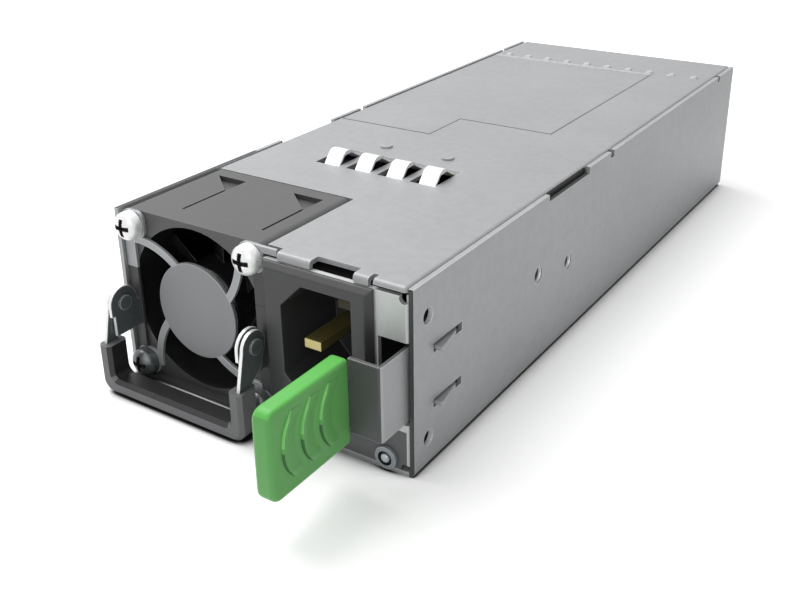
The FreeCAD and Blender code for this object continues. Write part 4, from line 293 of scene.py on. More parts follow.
# One finish for each material slot, for the nodes that stay as they are
PLAIN = {
    "case_steel": STEEL, "panel_steel": PANEL, "spring_steel": BRIGHT, "guard_steel": GUARD,
    "fasteners": SCREW, "fan_plastic": FAN_TOP, "grip_plastic": GRIP, "inlet_plastic": INLET,
    "tab_plastic": GREEN, "contact_brass": BRASS, "circuit_laminate": LAMINATE,
}
for slot, colour, metallic, rough, texture, coat in (
        ("bearing_steel", (0.826, 0.826, 0.8378), 0.9, 0.25, EVEN, 0),
        ("magnet_ferrite", (0.059, 0.059, 0.059), 0, 0.6, EVEN, 0),
        ("core_iron", (0.118, 0.118, 0.1239), 0.3, 0.6, IRON, 0),
        ("wound_copper", (0.531, 0.1888, 0.059), 0.7, 0.3, COIL, 0),
        ("copper_bar", (0.7788, 0.4248, 0.236), 0.9, 0.3, EVEN, 0),
        ("sink_aluminium", (0.708, 0.7198, 0.7316), 0.85, 0.38, EXTRUDED, 0),
        ("post_brass", (0.708, 0.59, 0.295), 0.9, 0.3, EVEN, 0),
        ("device_resin", (0.0354, 0.0354, 0.0354), 0, 0.5, EVEN, 0),
        ("can_sleeve", (0.0354, 0.0413, 0.0708), 0, 0.3, EVEN, 0.3),
        ("film_box", (0.708, 0.531, 0.0708), 0, 0.35, EVEN, 0.3),
        ("relay_box", (0.0354, 0.0944, 0.295), 0, 0.35, EVEN, 0),
        ("fuse_sleeve", (0.767, 0.7316, 0.649), 0, 0.35, EVEN, 0),
        ("liner_film", (0.826, 0.826, 0.767), 0, 0.5, EVEN, 0),
        ("plug_plastic", (0.826, 0.7906, 0.6844), 0, 0.5, EVEN, 0),
        ("wire_sleeve", (0.0354, 0.0354, 0.0354), 0, 0.4, EVEN, 0)):
    PLAIN[slot] = surface(slot, colour, metallic, rough, texture, coat=coat)
for name, node in NODES.items():
    node.data.materials.clear()
    node.data.materials.append(PLAIN[SLOT_OF[name]])

# Widths in metres and angles in degrees
EASE_ANGLE, NODE_CURVE, PIECE_CURVE = 30, 25, 35
FLAT_ANGLE, WELD, CUT_WELD = 0.6, 2e-6, 1e-7
AXES = {"x": (1.0, 0.0, 0.0), "y": (0.0, 1.0, 0.0), "z": (0.0, 0.0, 1.0)}


def link_piece(name, mesh, node, material):
    """Add a piece that rides on the body of a node, with the finish it is given."""
    piece = bpy.data.objects.new(name, mesh)
    SCENE.collection.objects.link(piece)
    mesh.materials.append(material)
    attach(piece, BODY_OF[node])
    return piece


def ease(piece, width, segments=2):
    """Round every sharp edge by a width in metres."""
    bevel = piece.modifiers.new("ease", "BEVEL")
    bevel.width = width
    bevel.segments = segments
    bevel.limit_method = "ANGLE"
    bevel.angle_limit = math.radians(EASE_ANGLE)
    bevel.harden_normals = True
    bevel.use_clamp_overlap = True


def keep_edges(work, angle):
    """Smooth shading over curves only, so that flat faces stay flat."""
    for face in work.faces:
        face.smooth = True
    for edge in work.edges:
        if len(edge.link_faces) != 2 or edge.calc_face_angle(0) > math.radians(angle):
            edge.smooth = False


def softened(node, width, material, cuts=()):
    """A node with its sharp edges eased, so that they catch the light, in its place.

    Each cut is an axis and a level in millimetres. It splits faces there for their paint.
    """
    mesh = NODES[node].data.copy()
    mesh.materials.clear()
    work = bmesh.new()
    work.from_mesh(mesh)
    bmesh.ops.remove_doubles(work, verts=work.verts, dist=WELD)
    bmesh.ops.dissolve_limit(work, angle_limit=math.radians(FLAT_ANGLE),
                             verts=work.verts, edges=work.edges)
    for axis, level in cuts:
        bmesh.ops.bisect_plane(work, geom=work.verts[:] + work.edges[:] + work.faces[:],
                               dist=CUT_WELD, plane_co=at(level, level, level), plane_no=AXES[axis])
    keep_edges(work, NODE_CURVE)
    work.to_mesh(mesh)
    work.free()
    piece = link_piece(node + "_soft", mesh, node, material)
    ease(piece, width)
    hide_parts(node)
    return piece


def made(name, node, work, material, replaces=True):
    """A piece from mesh code, in millimetres of the case's own corner frame."""
    mesh = bpy.data.meshes.new(name)
    for vert in work.verts:
        vert.co = at(*vert.co)
    bmesh.ops.recalc_face_normals(work, faces=work.faces)
    keep_edges(work, PIECE_CURVE)
    work.to_mesh(mesh)
    work.free()
    piece = link_piece(name, mesh, node, material)
    if replaces:
        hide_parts(node)
    return piece


def repaint(piece, *rules):
    """Give faces another finish. A rule is a finish and a test of the face's middle and normal."""
    for number, (material, test) in enumerate(rules, start=1):
        piece.data.materials.append(material)
        for face in piece.data.polygons:
            x, y, z = face.center * 1000
            if test(x + WIDE / 2, y + LONG / 2, z, face.normal):
                face.material_index = number
    return piece


def across_z(x, y, z):
    return (x, y, z)


def across_y(x, z, y):
    return (x, y, z)


def across_x(y, z, x):
    return (x, y, z)


def extrude(work, outline, place, low, high):
    """Add a plate with an outline between two levels; place puts a point of it in the case."""
    rings = [[work.verts.new(place(x, y, level)) for x, y in outline] for level in (low, high)]
    work.faces.new(rings[0])
    work.faces.new(rings[1][::-1])
    count = len(outline)
    for i in range(count):
        j = (i + 1) % count
        work.faces.new([rings[0][i], rings[0][j], rings[1][j], rings[1][i]])


def lathe(work, profile, centre, place, steps):
    """Turn a profile of radius and level round a centre."""
    rings = []
    for radius, level in profile:
        if radius == 0:
            rings.append([work.verts.new(place(*centre, level))])
            continue
        rings.append([work.verts.new(place(centre[0] + radius * math.cos(2 * math.pi * i / steps),
                                           centre[1] + radius * math.sin(2 * math.pi * i / steps),
                                           level))
                      for i in range(steps)])
    for a, b in zip(rings, rings[1:]):
        for i in range(steps):
            j = (i + 1) % steps
            corners = [a[i % len(a)], a[j % len(a)], b[j % len(b)], b[i % len(b)]]
            unique = list(dict.fromkeys(corners))
            if len(unique) > 2:
                work.faces.new(unique)


def arc(centre, radius, start, end, steps):
    """Points along a part of a circle, between two angles in degrees."""
    points = []
    for i in range(steps + 1):
        angle = math.radians(start + (end - start) * i / steps)
        points.append((centre[0] + radius * math.cos(angle), centre[1] + radius * math.sin(angle)))
    return points


def curve(start, middle, end, steps):
    """Points of a bend that is drawn towards its middle point."""
    points = []
    for i in range(steps + 1):
        t = i / steps
        points.append(tuple((1 - t) ** 2 * a + 2 * t * (1 - t) * b + t * t * c
                            for a, b, c in zip(start, middle, end)))
    return points


def ribbon(points, width):
    """Outline of a band of even width along points."""
    left, right = [], []
    for i, (x, y) in enumerate(points):
        x0, y0 = points[max(i - 1, 0)]
        x1, y1 = points[min(i + 1, len(points) - 1)]
        length = math.hypot(x1 - x0, y1 - y0)
        nx, ny = -(y1 - y0) / length * width / 2, (x1 - x0) / length * width / 2
        left.append((x + nx, y + ny))
        right.append((x - nx, y - ny))
    return left + right[::-1]


ROUND_STEPS = 6


def rounded(x0, y0, x1, y1, radius):
    """Outline of a rectangle with round corners."""
    points = []
    for x, y, start in ((x1 - radius, y1 - radius, 0), (x0 + radius, y1 - radius, 90),
                        (x0 + radius, y0 + radius, 180), (x1 - radius, y0 + radius, 270)):
        points += arc((x, y), radius, start, start + 90, ROUND_STEPS)
    return points


# Places where the finish changes, in millimetres of the case, and how far a face has to lean
FLOOR_TOP, LEFT_INSIDE, RIGHT_INSIDE, RIM = 1.2, 1.2, 72.3, HIGH - 1
BAY_RIGHT, BAY_REAR, FRONT_STRIP, FRONT_EDGE, LEFT_RIM = 41, 44, 2, 0.5, 1.1
NOTCHES = ((53.5, 74.7), (87, 89.2), (169.5, 171.7))
NOTCH_FLOOR = (37.3, 37.7)
SIDE_HOLES = ((4.8, 6.5), (4.8, 32.0))
HOLE_REACH = 1.75
LEVEL, SQUARE_ON, LEANING, SIDEWAYS, SLIGHT = 0.95, 0.7, 0.6, 0.5, 0.3
# Widths of the eased edges in metres
FINGER_EASE, COVER_EASE, SHEET_EASE = 0.00008, 0.0001, 0.00012
CAST_EASE, INLET_EASE, GRIP_EASE = 0.0002, 0.00025, 0.0003


def near_one(points, u, v, reach):
    """Whether a point lies within reach of one of the given points."""
    return any(math.hypot(u - a, v - b) < reach for a, b in points)


def in_notch(y):
    return any(start < y < end for start, end in NOTCHES)


def in_side_hole(y, z):
    return near_one(SIDE_HOLES, y, z, HOLE_REACH)


def bright_rims(piece):
    """Give the cut edges of a sheet that lies across X their bare metal, painted near white so that
    it also stands in as a painted highlight.
    """
    return repaint(piece, (CUT_EDGE, lambda x, y, z, n: abs(n.x) < SIDEWAYS))


# Tray: painted shade on the front edges, the sill, the left rim and the notch floors, and hole rims
# painted near white as bare metal and a painted highlight
def tray_front(x, y, z, n):
    under_bay = z < FLOOR_TOP and x < BAY_RIGHT
    return y < FRONT_EDGE and n.y < -SQUARE_ON and (under_bay or x > RIGHT_INSIDE)


def tray_sill(x, y, z, n):
    return y < FRONT_STRIP and z < FLOOR_TOP and x < BAY_RIGHT and n.z > SQUARE_ON


def tray_left_rim(x, y, z, n):
    return x < LEFT_RIM and y < BAY_REAR and z > RIM and n.z > SQUARE_ON


def tray_notch_shade(x, y, z, n):
    at_wall = x > RIGHT_INSIDE or x < LEFT_INSIDE
    return at_wall and NOTCH_FLOOR[0] < z < NOTCH_FLOOR[1] and n.z > SQUARE_ON and in_notch(y)


def tray_hole(x, y, z, n):
    return abs(n.x) < SIDEWAYS and x > RIGHT_INSIDE and in_side_hole(y, z)


tray = softened("chassis_tray", SHEET_EASE, WALL_STEEL,
                cuts=(("z", FLOOR_TOP), ("x", BAY_RIGHT), ("x", RIGHT_INSIDE),
                      ("y", FRONT_STRIP), ("y", BAY_REAR)))
repaint(tray, (SHADED_STEEL, tray_front), (SHADED_STEEL, tray_sill), (SHADED_STEEL, tray_left_rim),
        (RECESS_SHADE, tray_notch_shade), (CUT_EDGE, tray_hole))

# Cover: painted shade in the notches and as a thin dark strip along the front and side edges of the
# stepped area, and painted highlights on the stepped area's rear edge and on the dimples
STEP_START, STEP_INNER, STEP_OUTER = 1.3, 29.5, 55.5
STEP_FRONT, STEP_MIDDLE, STEP_REAR = 76.5, 92, 163
STEP_SHADE_LONG, STEP_SHADE_WIDE, STEP_SHADE_LOW, STEP_SHADE_TOP = 0.7, 0.55, 38.6, 38.985
DIMPLE_ROW, DIMPLE_REACH, DIMPLE_LOW = 164.8, 1.6, 39.01
COVER_LEFT, COVER_RIGHT, STEP_REACH = 1.6, 71.9, 0.5


def cover_notch_shade(x, y, z, n):
    return (x > COVER_RIGHT or x < COVER_LEFT) and abs(n.x) > SLIGHT and in_notch(y)


def step_rear_highlight(x, y, z, n):
    return n.y < -SIDEWAYS and abs(y - STEP_REAR) < STEP_REACH and z > RIM


def dimple_highlight(x, y, z, n):
    return z > DIMPLE_LOW and abs(y - DIMPLE_ROW) < DIMPLE_REACH and n.z > LEVEL


cover = softened("top_cover", COVER_EASE, STEEL,
                 cuts=[("y", place) for notch in NOTCHES for place in notch])
repaint(cover, (RECESS_SHADE, cover_notch_shade), (BRIGHT, step_rear_highlight), (DIMPLE_HIGHLIGHT, dimple_highlight))
# A thin dark strip of painted shade along the front and side edges of the stepped area
work = bmesh.new()
extrude(work, [(STEP_START, STEP_FRONT), (STEP_INNER, STEP_FRONT), (STEP_INNER, STEP_MIDDLE),
               (STEP_OUTER, STEP_MIDDLE), (STEP_OUTER, STEP_REAR),
               (STEP_OUTER - STEP_SHADE_WIDE, STEP_REAR),
               (STEP_OUTER - STEP_SHADE_WIDE, STEP_MIDDLE + STEP_SHADE_LONG),
               (STEP_INNER - STEP_SHADE_WIDE, STEP_MIDDLE + STEP_SHADE_LONG),
               (STEP_INNER - STEP_SHADE_WIDE, STEP_FRONT + STEP_SHADE_LONG),
               (STEP_START, STEP_FRONT + STEP_SHADE_LONG)], across_z, STEP_SHADE_LOW, STEP_SHADE_TOP)
made("cover_step_shade", "top_cover", work, STEP_SHADE, replaces=False)

# Other sheet parts, mouldings and contacts that keep the shape of their nodes
PANEL_SPLIT, PANEL_RIGHT, DUCT_REACH = 9.6, 71.8, 18
GRIP_LOW, GRIP_MIDDLE = 6, 20
MIDDLE_PIN, PIN_REACH, BARB_LEFT = 21.8, 3, 73.0


# The inside of the fan's duct is painted black as shade
def duct_shade(x, y, z, n):
    inside = math.hypot(x - FAN_X, z - FAN_Z) < DUCT_REACH
    return inside and (abs(n.y) < SIDEWAYS or y > FRONT_STRIP)


# The grip's inner faces and low upward faces are painted black as shade
def grip_inside_shade(x, y, z, n):
    towards_middle = n.x > LEANING if x < GRIP_MIDDLE else n.x < -LEANING
    return (n.z > LEANING and z < GRIP_LOW) or n.y > LEANING or towards_middle


# Front panel: its lower part painted dark as shade, and its side hole rims painted black as shade
repaint(softened("front_panel", COVER_EASE, PANEL, cuts=(("z", PANEL_SPLIT), ("x", PANEL_RIGHT))),
        (PANEL_SHADE, lambda x, y, z, n: z < PANEL_SPLIT and x < PANEL_RIGHT),
        (RECESS_SHADE, lambda x, y, z, n: abs(n.x) < SIDEWAYS and in_side_hole(y, z)))
repaint(softened("fan_frame", CAST_EASE, FAN_TOP),
        (FAN_FACE, lambda x, y, z, n: n.y < -SQUARE_ON and y < FRONT_STRIP), (SHADE_BLACK, duct_shade))
for arm in ("handle_arm_left", "handle_arm_right"):
    bright_rims(softened(arm, SHEET_EASE, SLATE))
softened("handle_rivets", COVER_EASE, SLATE)
repaint(softened("handle_grip", GRIP_EASE, GRIP), (SHADE_BLACK, grip_inside_shade))
softened("inlet_housing", INLET_EASE, INLET)
# Inlet pins: bright brass fronts, painted shade on their sides and on the outer pins
repaint(softened("inlet_pins", CAST_EASE, BRASS),
        (BRASS_SHADED_SIDE, lambda x, y, z, n: n.y > -SQUARE_ON),
        (BRASS_SHADE, lambda x, y, z, n: abs(z - MIDDLE_PIN) > PIN_REACH))
# Latch spring: painted shade on most faces, painted light on its +X faces and on the barbs
repaint(softened("latch_spring", SHEET_EASE, BRACKET_SHADE),
        (BRACKET_LIT_SIDE, lambda x, y, z, n: n.x > SQUARE_ON),
        (BARB_LIT, lambda x, y, z, n: x > BARB_LEFT))
softened("grounding_fingers", FINGER_EASE, BRIGHT)
softened("strip_rivets", COVER_EASE, STEEL)

# Latch rivets: hollow, with their bores open to the outside
LATCH_RIVETS = ((49.7, 21.9), (65.1, 19.1))
RIVET_PROFILE = ((0, 71.2), (0.95, 71.2), (1.0, 72.5), (1.72, 72.54), (1.76, 73.1), (1.8, 73.17),
                 (1.86, 73.17), (1.9, 73.1), (1.9, 72.5), (1.2, 72.5), (1.2, 71.0), (0, 71.0))
BORE_FLOOR, BORE_REACH, RIVET_SIDES = 72.6, 1.6, 40
work = bmesh.new()
for centre in LATCH_RIVETS:
    lathe(work, RIVET_PROFILE, centre, across_x, RIVET_SIDES)
# The bore floors are painted black as shade
repaint(made("latch_hollow_rivets", "latch_rivets", work, SCREW),
        (RECESS_SHADE, lambda x, y, z, n: x < BORE_FLOOR and near_one(LATCH_RIVETS, y, z, BORE_REACH)))

# Finger guard: disc, curved spokes, corner tabs, side strips and ears of bent sheet. Each kind is
# set in from the sheet's faces by its own small amount, so that no two faces coincide.
GUARD_FRONT, GUARD_BACK = 0.8, 1.6
DISC_RADIUS, DISC_EDGE, DISC_EASE, DISC_SIDES = 10.5, 0.15, 0.12, 96
SPOKE, SPOKE_STEPS, SPOKE_WIDE = ((-16.5, 12.6), (-10.0, 12.9), (-4.6, 8.6)), 16, 1.7
SCREW_REACH, CORNER_REACH, CORNER_RADIUS = 16, 3, 1.8
CORNERS = ((-1, 1), (1, 1), (1, -1), (-1, -1))
STRIPS, STRIP_PARTS, STRIP_RADIUS = ((-19, -16.2), (16.2, 19)), ((-14, 6), (6, 14)), 0.2
BRIDGE, BRIDGE_RADIUS = (17, 17.55, 22.4, 18.95), 0.3
SHADE_REACH, SHADE_TOP = 14.1, 5.9
CORNER_INSET, SPOKE_INSET, STRIP_INSET, BRIDGE_INSET = 0.01, 0.02, 0.03, 0.04
work = bmesh.new()
lathe(work, [(0, GUARD_FRONT), (DISC_RADIUS - DISC_EDGE, GUARD_FRONT),
             (DISC_RADIUS, GUARD_FRONT + DISC_EASE), (DISC_RADIUS, GUARD_BACK), (0, GUARD_BACK)],
      (FAN_X, FAN_Z), across_y, DISC_SIDES)
made("fan_guard_disc", "fan_guard", work, DISC)


def guard_plate(work, outline, inset):
    extrude(work, outline, across_y, GUARD_FRONT + inset, GUARD_BACK - inset)


def from_fan(x0, z0, x1, z1, radius):
    """A rounded rectangle whose corners are measured from the fan's middle."""
    return rounded(FAN_X + x0, FAN_Z + z0, FAN_X + x1, FAN_Z + z1, radius)


def strip_shade(x, y, z, n):
    lower = x > FAN_X or z < FAN_Z + SHADE_TOP
    return abs(x - FAN_X) > SCREW_REACH and abs(z - FAN_Z) < SHADE_REACH and lower


work = bmesh.new()
spoke = ribbon(curve(*SPOKE, SPOKE_STEPS), SPOKE_WIDE)
for number, (right_hand, upper) in enumerate(CORNERS):
    turn = math.radians(-90 * number)
    guard_plate(work, [(FAN_X + x * math.cos(turn) - z * math.sin(turn),
                        FAN_Z + x * math.sin(turn) + z * math.cos(turn)) for x, z in spoke],
                SPOKE_INSET)
    x, z = SCREW_REACH * right_hand, SCREW_REACH * upper
    guard_plate(work, from_fan(x - CORNER_REACH, z - CORNER_REACH, x + CORNER_REACH,
                               z + CORNER_REACH, CORNER_RADIUS), CORNER_INSET)
for low, high in STRIPS:
    for foot, head in STRIP_PARTS:
        guard_plate(work, from_fan(low, foot, high, head, STRIP_RADIUS), STRIP_INSET)
guard_plate(work, from_fan(*BRIDGE, BRIDGE_RADIUS), BRIDGE_INSET)
guard = repaint(made("fan_guard_sheet", "fan_guard", work, GUARD, replaces=False),
                (SHADED_STEEL, strip_shade))
ease(guard, COVER_EASE)

PIVOT_Y, PIVOT_Z, EAR_RADIUS, EAR_STEPS = -3.2, 19.4, 3.6, 20
EAR_REACH, EAR_SHEET, EAR_FOOT, EAR_STEP, EAR_NECK = 17, 0.8, 7, 2.4, 2.8
EAR_HEEL, EAR_HEEL_DROP, EAR_ROOT_DROP = 3.9, 0.6, 1.4
ear = [(GUARD_BACK, PIVOT_Z - EAR_FOOT), (PIVOT_Y - EAR_NECK, PIVOT_Z - EAR_FOOT),
       (PIVOT_Y - EAR_NECK, PIVOT_Z - EAR_STEP), (PIVOT_Y - EAR_RADIUS, PIVOT_Z - EAR_STEP)]
ear += arc((PIVOT_Y, PIVOT_Z), EAR_RADIUS, 180, 0, EAR_STEPS)
ear += [(PIVOT_Y + EAR_HEEL, PIVOT_Z - EAR_HEEL_DROP), (GUARD_BACK, PIVOT_Z - EAR_ROOT_DROP)]
work = bmesh.new()
for low in (FAN_X - EAR_REACH - EAR_SHEET, FAN_X + EAR_REACH):
    extrude(work, ear, across_x, low, low + EAR_SHEET)
ears = bright_rims(made("fan_guard_ears", "fan_guard", work, SLATE, replaces=False))
ease(ears, SHEET_EASE)

# Fan screws: pan heads whose cross recess is pressed into the dome
HEAD_RADIUS, HEAD_HEIGHT, HEAD_WALL, HEAD_RIM, HEAD_SIDES = 3.1, 3.4, 1.6, 0.25, 64
DOME_STEPS, DOME_KEPT, CAP_STEPS = 7, 4, 14
CROSS_HALF, CROSS_REACH, CROSS_MIDDLE, CROSS_DEEP, CROSS_SHALLOW = 0.42, 1.9, 1.2, 1.1, 0.7


def screw_head(work, x, z):
    """One head. Its middle rings follow the dome, and the points in the cross are pressed down."""
    rise = HEAD_HEIGHT - HEAD_WALL
    levels = [(HEAD_RADIUS - HEAD_RIM, 0.0), (HEAD_RADIUS, HEAD_RIM), (HEAD_RADIUS, HEAD_WALL)]
    for i in range(1, DOME_KEPT + 1):
        turn = math.pi / 2 * i / DOME_STEPS
        levels.append((HEAD_RADIUS * math.cos(turn), HEAD_WALL + rise * math.sin(turn)))
    cap_radius = levels[-1][0]
    levels += [(cap_radius * (1 - i / CAP_STEPS), None) for i in range(1, CAP_STEPS)]
    rings, pressed = [], set()
    for radius, level in levels:
        ring = []
        for i in range(HEAD_SIDES):
            turn = 2 * math.pi * i / HEAD_SIDES
            u, v = radius * math.cos(turn), radius * math.sin(turn)
            height, in_cross = level, False
            if level is None:
                height = HEAD_WALL + rise * math.sqrt(1 - (radius / HEAD_RADIUS) ** 2)
                longer = max(abs(u), abs(v))
                in_cross = min(abs(u), abs(v)) < CROSS_HALF and longer < CROSS_REACH
                if in_cross:
                    height -= CROSS_DEEP if longer < CROSS_MIDDLE else CROSS_SHALLOW
            ring.append(work.verts.new((x + u, GUARD_FRONT - height, z + v)))
            if in_cross:
                pressed.add(ring[-1])
        rings.append(ring)
    for a, b in zip(rings, rings[1:]):
        for i in range(HEAD_SIDES):
            j = (i + 1) % HEAD_SIDES
            face = work.faces.new([a[i], a[j], b[j], b[i]])
            if any(vert in pressed for vert in face.verts):
                face.material_index = 1
    work.faces.new(rings[-1]).material_index = 1
    work.faces.new(rings[0][::-1])


work = bmesh.new()
for x in (FAN_X - SCREW_REACH, FAN_X + SCREW_REACH):
    for z in (FAN_Z - SCREW_REACH, FAN_Z + SCREW_REACH):
        screw_head(work, x, z)
screws = made("fan_screw_heads", "fan_screws", work, SCREW)
# The cross recesses are painted black as shade, and the lower two heads are painted darker as shade
screws.data.materials.append(RECESS_SHADE)
screws.data.materials.append(SCREW_SHADE)
for face in screws.data.polygons:
    if face.center.z * 1000 < FAN_Z and face.material_index == 0:
        face.material_index = 2

# Screw under the latch: a flat dark ring round a bright domed middle
FLANGE_SCREW, RING_SIDES, MIDDLE_SIDES = (WIDE - 6.1, 2.9), 48, 40
RING_PROFILE = ((0, 0), (2.3, 0), (2.4, -0.15), (2.35, -0.7), (2.0, -0.85), (1.55, -0.85),
                (1.4, -0.2), (0, -0.2))
MIDDLE_PROFILE = ((0, -0.5), (0.95, -0.5), (0.9, -0.8), (0.7, -0.98), (0.35, -1.08), (0, -1.1))
RING_REACH, RING_FACE = 1.5, -0.8
work = bmesh.new()
lathe(work, RING_PROFILE, FLANGE_SCREW, across_y, RING_SIDES)
# The ring's bore is painted black as shade
repaint(made("flange_ring", "flange_screw", work, RING),
        (RECESS_SHADE, lambda x, y, z, n: near_one((FLANGE_SCREW,), x, z, RING_REACH) and y > RING_FACE))
work = bmesh.new()
lathe(work, MIDDLE_PROFILE, FLANGE_SCREW, across_y, MIDDLE_SIDES)
made("flange_middle", "flange_screw", work, RING_MIDDLE, replaces=False)

# Fan rotor: a moulded cup and seven blades that twist and thin towards their tips
HUB_FRONT, HUB_LONG, HUB_RADIUS, TIP_RADIUS, HUB_SIDES = 2.8, 19.0, 9.2, 17.25, 72
CUP_PROFILE = ((0, 0), (7.6, 0), (8.4, 0.2), (9.0, 0.8), (HUB_RADIUS, 1.6), (HUB_RADIUS, HUB_LONG),
               (8.25, HUB_LONG), (8.25, 1.2), (0, 1.2))
BLADES, BLADE_ROOT = 7, 0.4
RADIUS_STEPS, CHORD_STEPS = 12, 14
ROOT_TWIST, TWIST_CHANGE = 42, 13
ROOT_CAMBER, CAMBER_LOSS = 1.3, 0.4
HALF_CHORD, CHORD_LOSS = 6.5, 0.6
BLADE_THICK, BLADE_EDGE = 0.42, 0.06


def blade_point(start, i, j, face):
    """A point of a blade: i counts from root to tip, j along the chord, face is 1 or -1."""
    out = i / RADIUS_STEPS
    radius = HUB_RADIUS - BLADE_ROOT + (TIP_RADIUS - HUB_RADIUS + BLADE_ROOT) * i / RADIUS_STEPS
    twist = math.radians(ROOT_TWIST + TWIST_CHANGE * i / RADIUS_STEPS)
    camber = ROOT_CAMBER - CAMBER_LOSS * i / RADIUS_STEPS
    t = j / CHORD_STEPS * 2 - 1
    forward = t * (HALF_CHORD - CHORD_LOSS * out ** 3)
    thick = BLADE_THICK * (1 - t * t) + BLADE_EDGE
    sideways = camber * (1 - t * t) + face * thick
    y = HUB_FRONT + HUB_LONG / 2 + math.cos(twist) * forward - math.sin(twist) * sideways
    turn = start + (math.sin(twist) * forward + math.cos(twist) * sideways) / radius
    return (FAN_X + radius * math.cos(turn), y, FAN_Z + radius * math.sin(turn))


work = bmesh.new()
lathe(work, [(radius, HUB_FRONT + level) for radius, level in CUP_PROFILE],
      (FAN_X, FAN_Z), across_y, HUB_SIDES)
for number in range(BLADES):
    start = 2 * math.pi * number / BLADES
    sides = [[[work.verts.new(blade_point(start, i, j, face)) for j in range(CHORD_STEPS + 1)]
              for i in range(RADIUS_STEPS + 1)] for face in (1, -1)]
    for grid in sides:
        for a, b in zip(grid, grid[1:]):
            for j in range(CHORD_STEPS):
                work.faces.new([a[j], b[j], b[j + 1], a[j + 1]])
    upper, lower = sides
    for i in range(RADIUS_STEPS):
        for j in (0, CHORD_STEPS):
            work.faces.new([upper[i][j], upper[i + 1][j], lower[i + 1][j], lower[i][j]])
    for j in range(CHORD_STEPS):
        work.faces.new([upper[-1][j], upper[-1][j + 1], lower[-1][j + 1], lower[-1][j]])
made("fan_wheel", "fan_rotor", work, BLADE_BLACK)

# Release tab: a slab with soft rims and three thumb treads, each a step with a bowed edge
TAB_LEFT, TAB_RIGHT, TAB_TIP, TAB_END = 61.1, 65.1, -29.4, -7.5
TAB_LOW, TAB_HIGH, TAB_RADIUS, TAB_STEPS = 9.4, 27.0, 2.2, 8
TAB_EASE, TAB_EASE_STEPS = 0.0010, 5
work = bmesh.new()
slab = [(TAB_END, TAB_LOW), (TAB_END, TAB_HIGH)]
slab += arc((TAB_TIP + TAB_RADIUS, TAB_HIGH - TAB_RADIUS), TAB_RADIUS, 90, 180, TAB_STEPS)
slab += arc((TAB_TIP + TAB_RADIUS, TAB_LOW + TAB_RADIUS), TAB_RADIUS, 180, 270, TAB_STEPS)
extrude(work, slab, across_x, TAB_LEFT, TAB_RIGHT)
# The slab's upward faces are painted lighter green as painted light
slab_piece = repaint(made("release_slab", "release_tab", work, GREEN),
                     (GREEN_LIT_TOP, lambda x, y, z, n: n.z > LEANING))
ease(slab_piece, TAB_EASE, TAB_EASE_STEPS)

TREADS, TREAD_START, TREAD_PITCH, TREAD_STEPS = 3, 2.7, 5.0, 40
TREAD_MIDDLE, TREAD_REACH, TREAD_BOW, BOW_POWER = 18.8, 6.4, 2.8, 2.4
FADE_LENGTH, FADE_LEAST = 1.6, 0.15
TREAD = ((-0.02, -0.3), (0.0, 0.02), (0.1, 0.36), (0.24, 0.5), (0.5, 0.52), (1.5, 0.36),
         (3.4, 0.03), (3.6, -0.3))
# Heights above and below the tread's middle where the painted highlight and painted shade begin
EDGE_FACES, HIGHLIGHT_FROM, SHADE_TO = 3, 0.8, -0.4


def tread_row(work, edge_y, z):
    """The points of a tread's profile at a height; it rises less towards the tread's ends."""
    bow = TREAD_BOW * abs((z - TREAD_MIDDLE) / TREAD_REACH) ** BOW_POWER
    fade = min(1, (TREAD_REACH - abs(z - TREAD_MIDDLE)) / FADE_LENGTH + FADE_LEAST)
    return [work.verts.new((TAB_RIGHT + (rise * fade if rise > 0 else rise),
                            edge_y + bow + along, z)) for along, rise in TREAD]


work = bmesh.new()
for number in range(TREADS):
    edge_y = TAB_TIP + TREAD_START + TREAD_PITCH * number
    rows = [tread_row(work, edge_y, TREAD_MIDDLE + TREAD_REACH * (i / (TREAD_STEPS / 2) - 1))
            for i in range(TREAD_STEPS + 1)]
    for a, b in zip(rows, rows[1:]):
        height = (a[0].co.z + b[0].co.z) / 2 - TREAD_MIDDLE
        for j in range(len(TREAD) - 1):
            face = work.faces.new([a[j], a[j + 1], b[j + 1], b[j]])
            # A tread's step faces get a painted highlight near its top and painted shade near its
            # bottom
            if j < EDGE_FACES:
                face.material_index = 2 if height > HIGHLIGHT_FROM else 1 if height < SHADE_TO else 0
    work.faces.new(rows[0])
    work.faces.new(rows[-1][::-1])
treads = made("release_treads", "release_tab", work, GREEN, replaces=False)
treads.data.materials.append(TREAD_SHADE)
treads.data.materials.append(TREAD_HIGHLIGHT)

# Floor: white, lit up a little for the camera away from the part, and painted dark as shade, from
# ambient occlusion, only in tight gaps
FLOOR_HALF, FLOOR_COLOUR, FLOOR_ROUGH = 0.8, (0.9, 0.9, 0.9, 1), 0.7
GLOW_START, GLOW_END, GLOW_LEAST, GLOW_MOST = 0.14, 0.32, 0.22, 0.8
GAP_REACH, GAP_DARK, GAP_OPEN = 0.012, 0.36, 0.62
floor_mesh = bpy.data.meshes.new("floor")
floor_mesh.from_pydata([(-FLOOR_HALF, -FLOOR_HALF, 0), (FLOOR_HALF, -FLOOR_HALF, 0),
                        (FLOOR_HALF, FLOOR_HALF, 0), (-FLOOR_HALF, FLOOR_HALF, 0)],
                       [], [(0, 1, 2, 3)])
floor = bpy.data.objects.new("floor", floor_mesh)
SCENE.collection.objects.link(floor)
floor_paint = bpy.data.materials.new("floor_paint")
floor_paint.use_nodes = True
tree = floor_paint.node_tree
paint = tree.nodes["Principled BSDF"]
paint.inputs["Base Color"].default_value = FLOOR_COLOUR
paint.inputs["Roughness"].default_value = FLOOR_ROUGH
rays = tree.nodes.new("ShaderNodeLightPath")
spot = tree.nodes.new("ShaderNodeTexCoord")
away = tree.nodes.new("ShaderNodeVectorMath")
away.operation = "LENGTH"
tree.links.new(spot.outputs["Object"], away.inputs[0])
glow = ranged(tree, away.outputs["Value"], GLOW_START, GLOW_END, GLOW_LEAST, GLOW_MOST)
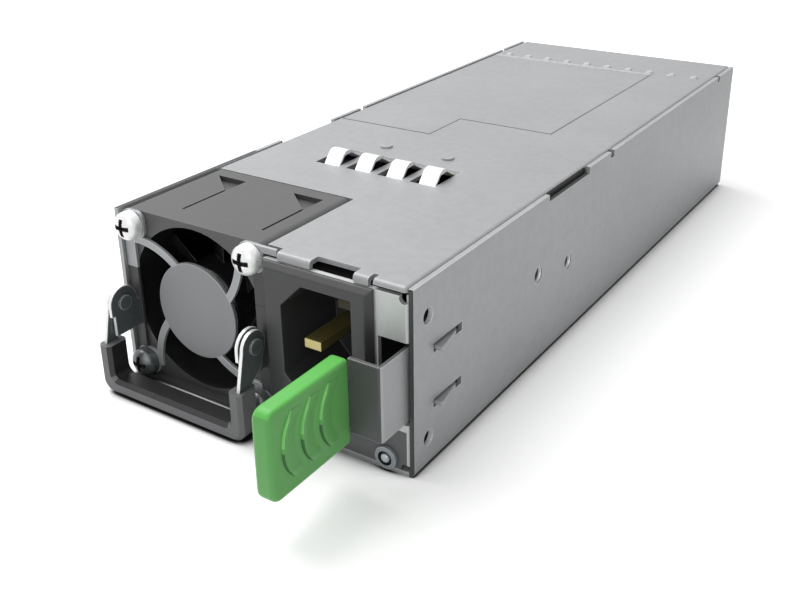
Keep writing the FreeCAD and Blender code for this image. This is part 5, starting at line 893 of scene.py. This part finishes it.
tree.links.new(joined(tree, "MULTIPLY", rays.outputs["Is Camera Ray"], glow),
               paint.inputs["Emission Strength"])
# Painted shade: the floor's colour darkens where ambient occlusion finds tight gaps
gap = tree.nodes.new("ShaderNodeAmbientOcclusion")
gap.inputs["Distance"].default_value = GAP_REACH
shade = grey(tree, ranged(tree, gap.outputs["AO"], GAP_DARK, GAP_OPEN, 0, 1))
tree.links.new(shade, paint.inputs["Base Color"])
tree.links.new(shade, paint.inputs["Emission Color"])
floor_mesh.materials.append(floor_paint)

# Sky: soft light, and plain white where the camera, a reflection or clear matter looks at it
SKY_LIGHT, SKY_SEEN, WHITE = 0.36, 1.0, (1, 1, 1, 1)
world = bpy.data.worlds.new("sky")
SCENE.world = world
world.use_nodes = True
tree = world.node_tree
tree.nodes.clear()
sky_out = tree.nodes.new("ShaderNodeOutputWorld")
skies = []
for strength in (SKY_LIGHT, SKY_SEEN):
    sky = tree.nodes.new("ShaderNodeBackground")
    sky.inputs[0].default_value = WHITE
    sky.inputs[1].default_value = strength
    skies.append(sky)
rays = tree.nodes.new("ShaderNodeLightPath")
either = tree.nodes.new("ShaderNodeMixShader")
seen = joined(tree, "MAXIMUM", rays.outputs["Is Camera Ray"], rays.outputs["Is Glossy Ray"])
seen = joined(tree, "MAXIMUM", seen, rays.outputs["Is Transmission Ray"])
tree.links.new(seen, either.inputs[0])
tree.links.new(skies[0].outputs[0], either.inputs[1])
tree.links.new(skies[1].outputs[0], either.inputs[2])
tree.links.new(either.outputs[0], sky_out.inputs[0])


def lamp(name, place, target, size, watts):
    """A square lamp that shines from a place towards a target."""
    data = bpy.data.lights.new(name, "AREA")
    data.shape = "SQUARE"
    data.size = size
    data.energy = watts
    light = bpy.data.objects.new(name, data)
    light.location = place
    light.rotation_euler = (Vector(target) - Vector(place)).to_track_quat("-Z", "Y").to_euler()
    SCENE.collection.objects.link(light)


lamp("key", place=(-0.22, -0.02, 0.52), target=(0, -0.03, 0), size=0.5, watts=3.2)
lamp("fill", place=(0.3, -0.8, 0.45), target=(0, -0.05, 0.02), size=0.6, watts=1.4)
SCENE.view_settings.view_transform = "Standard"
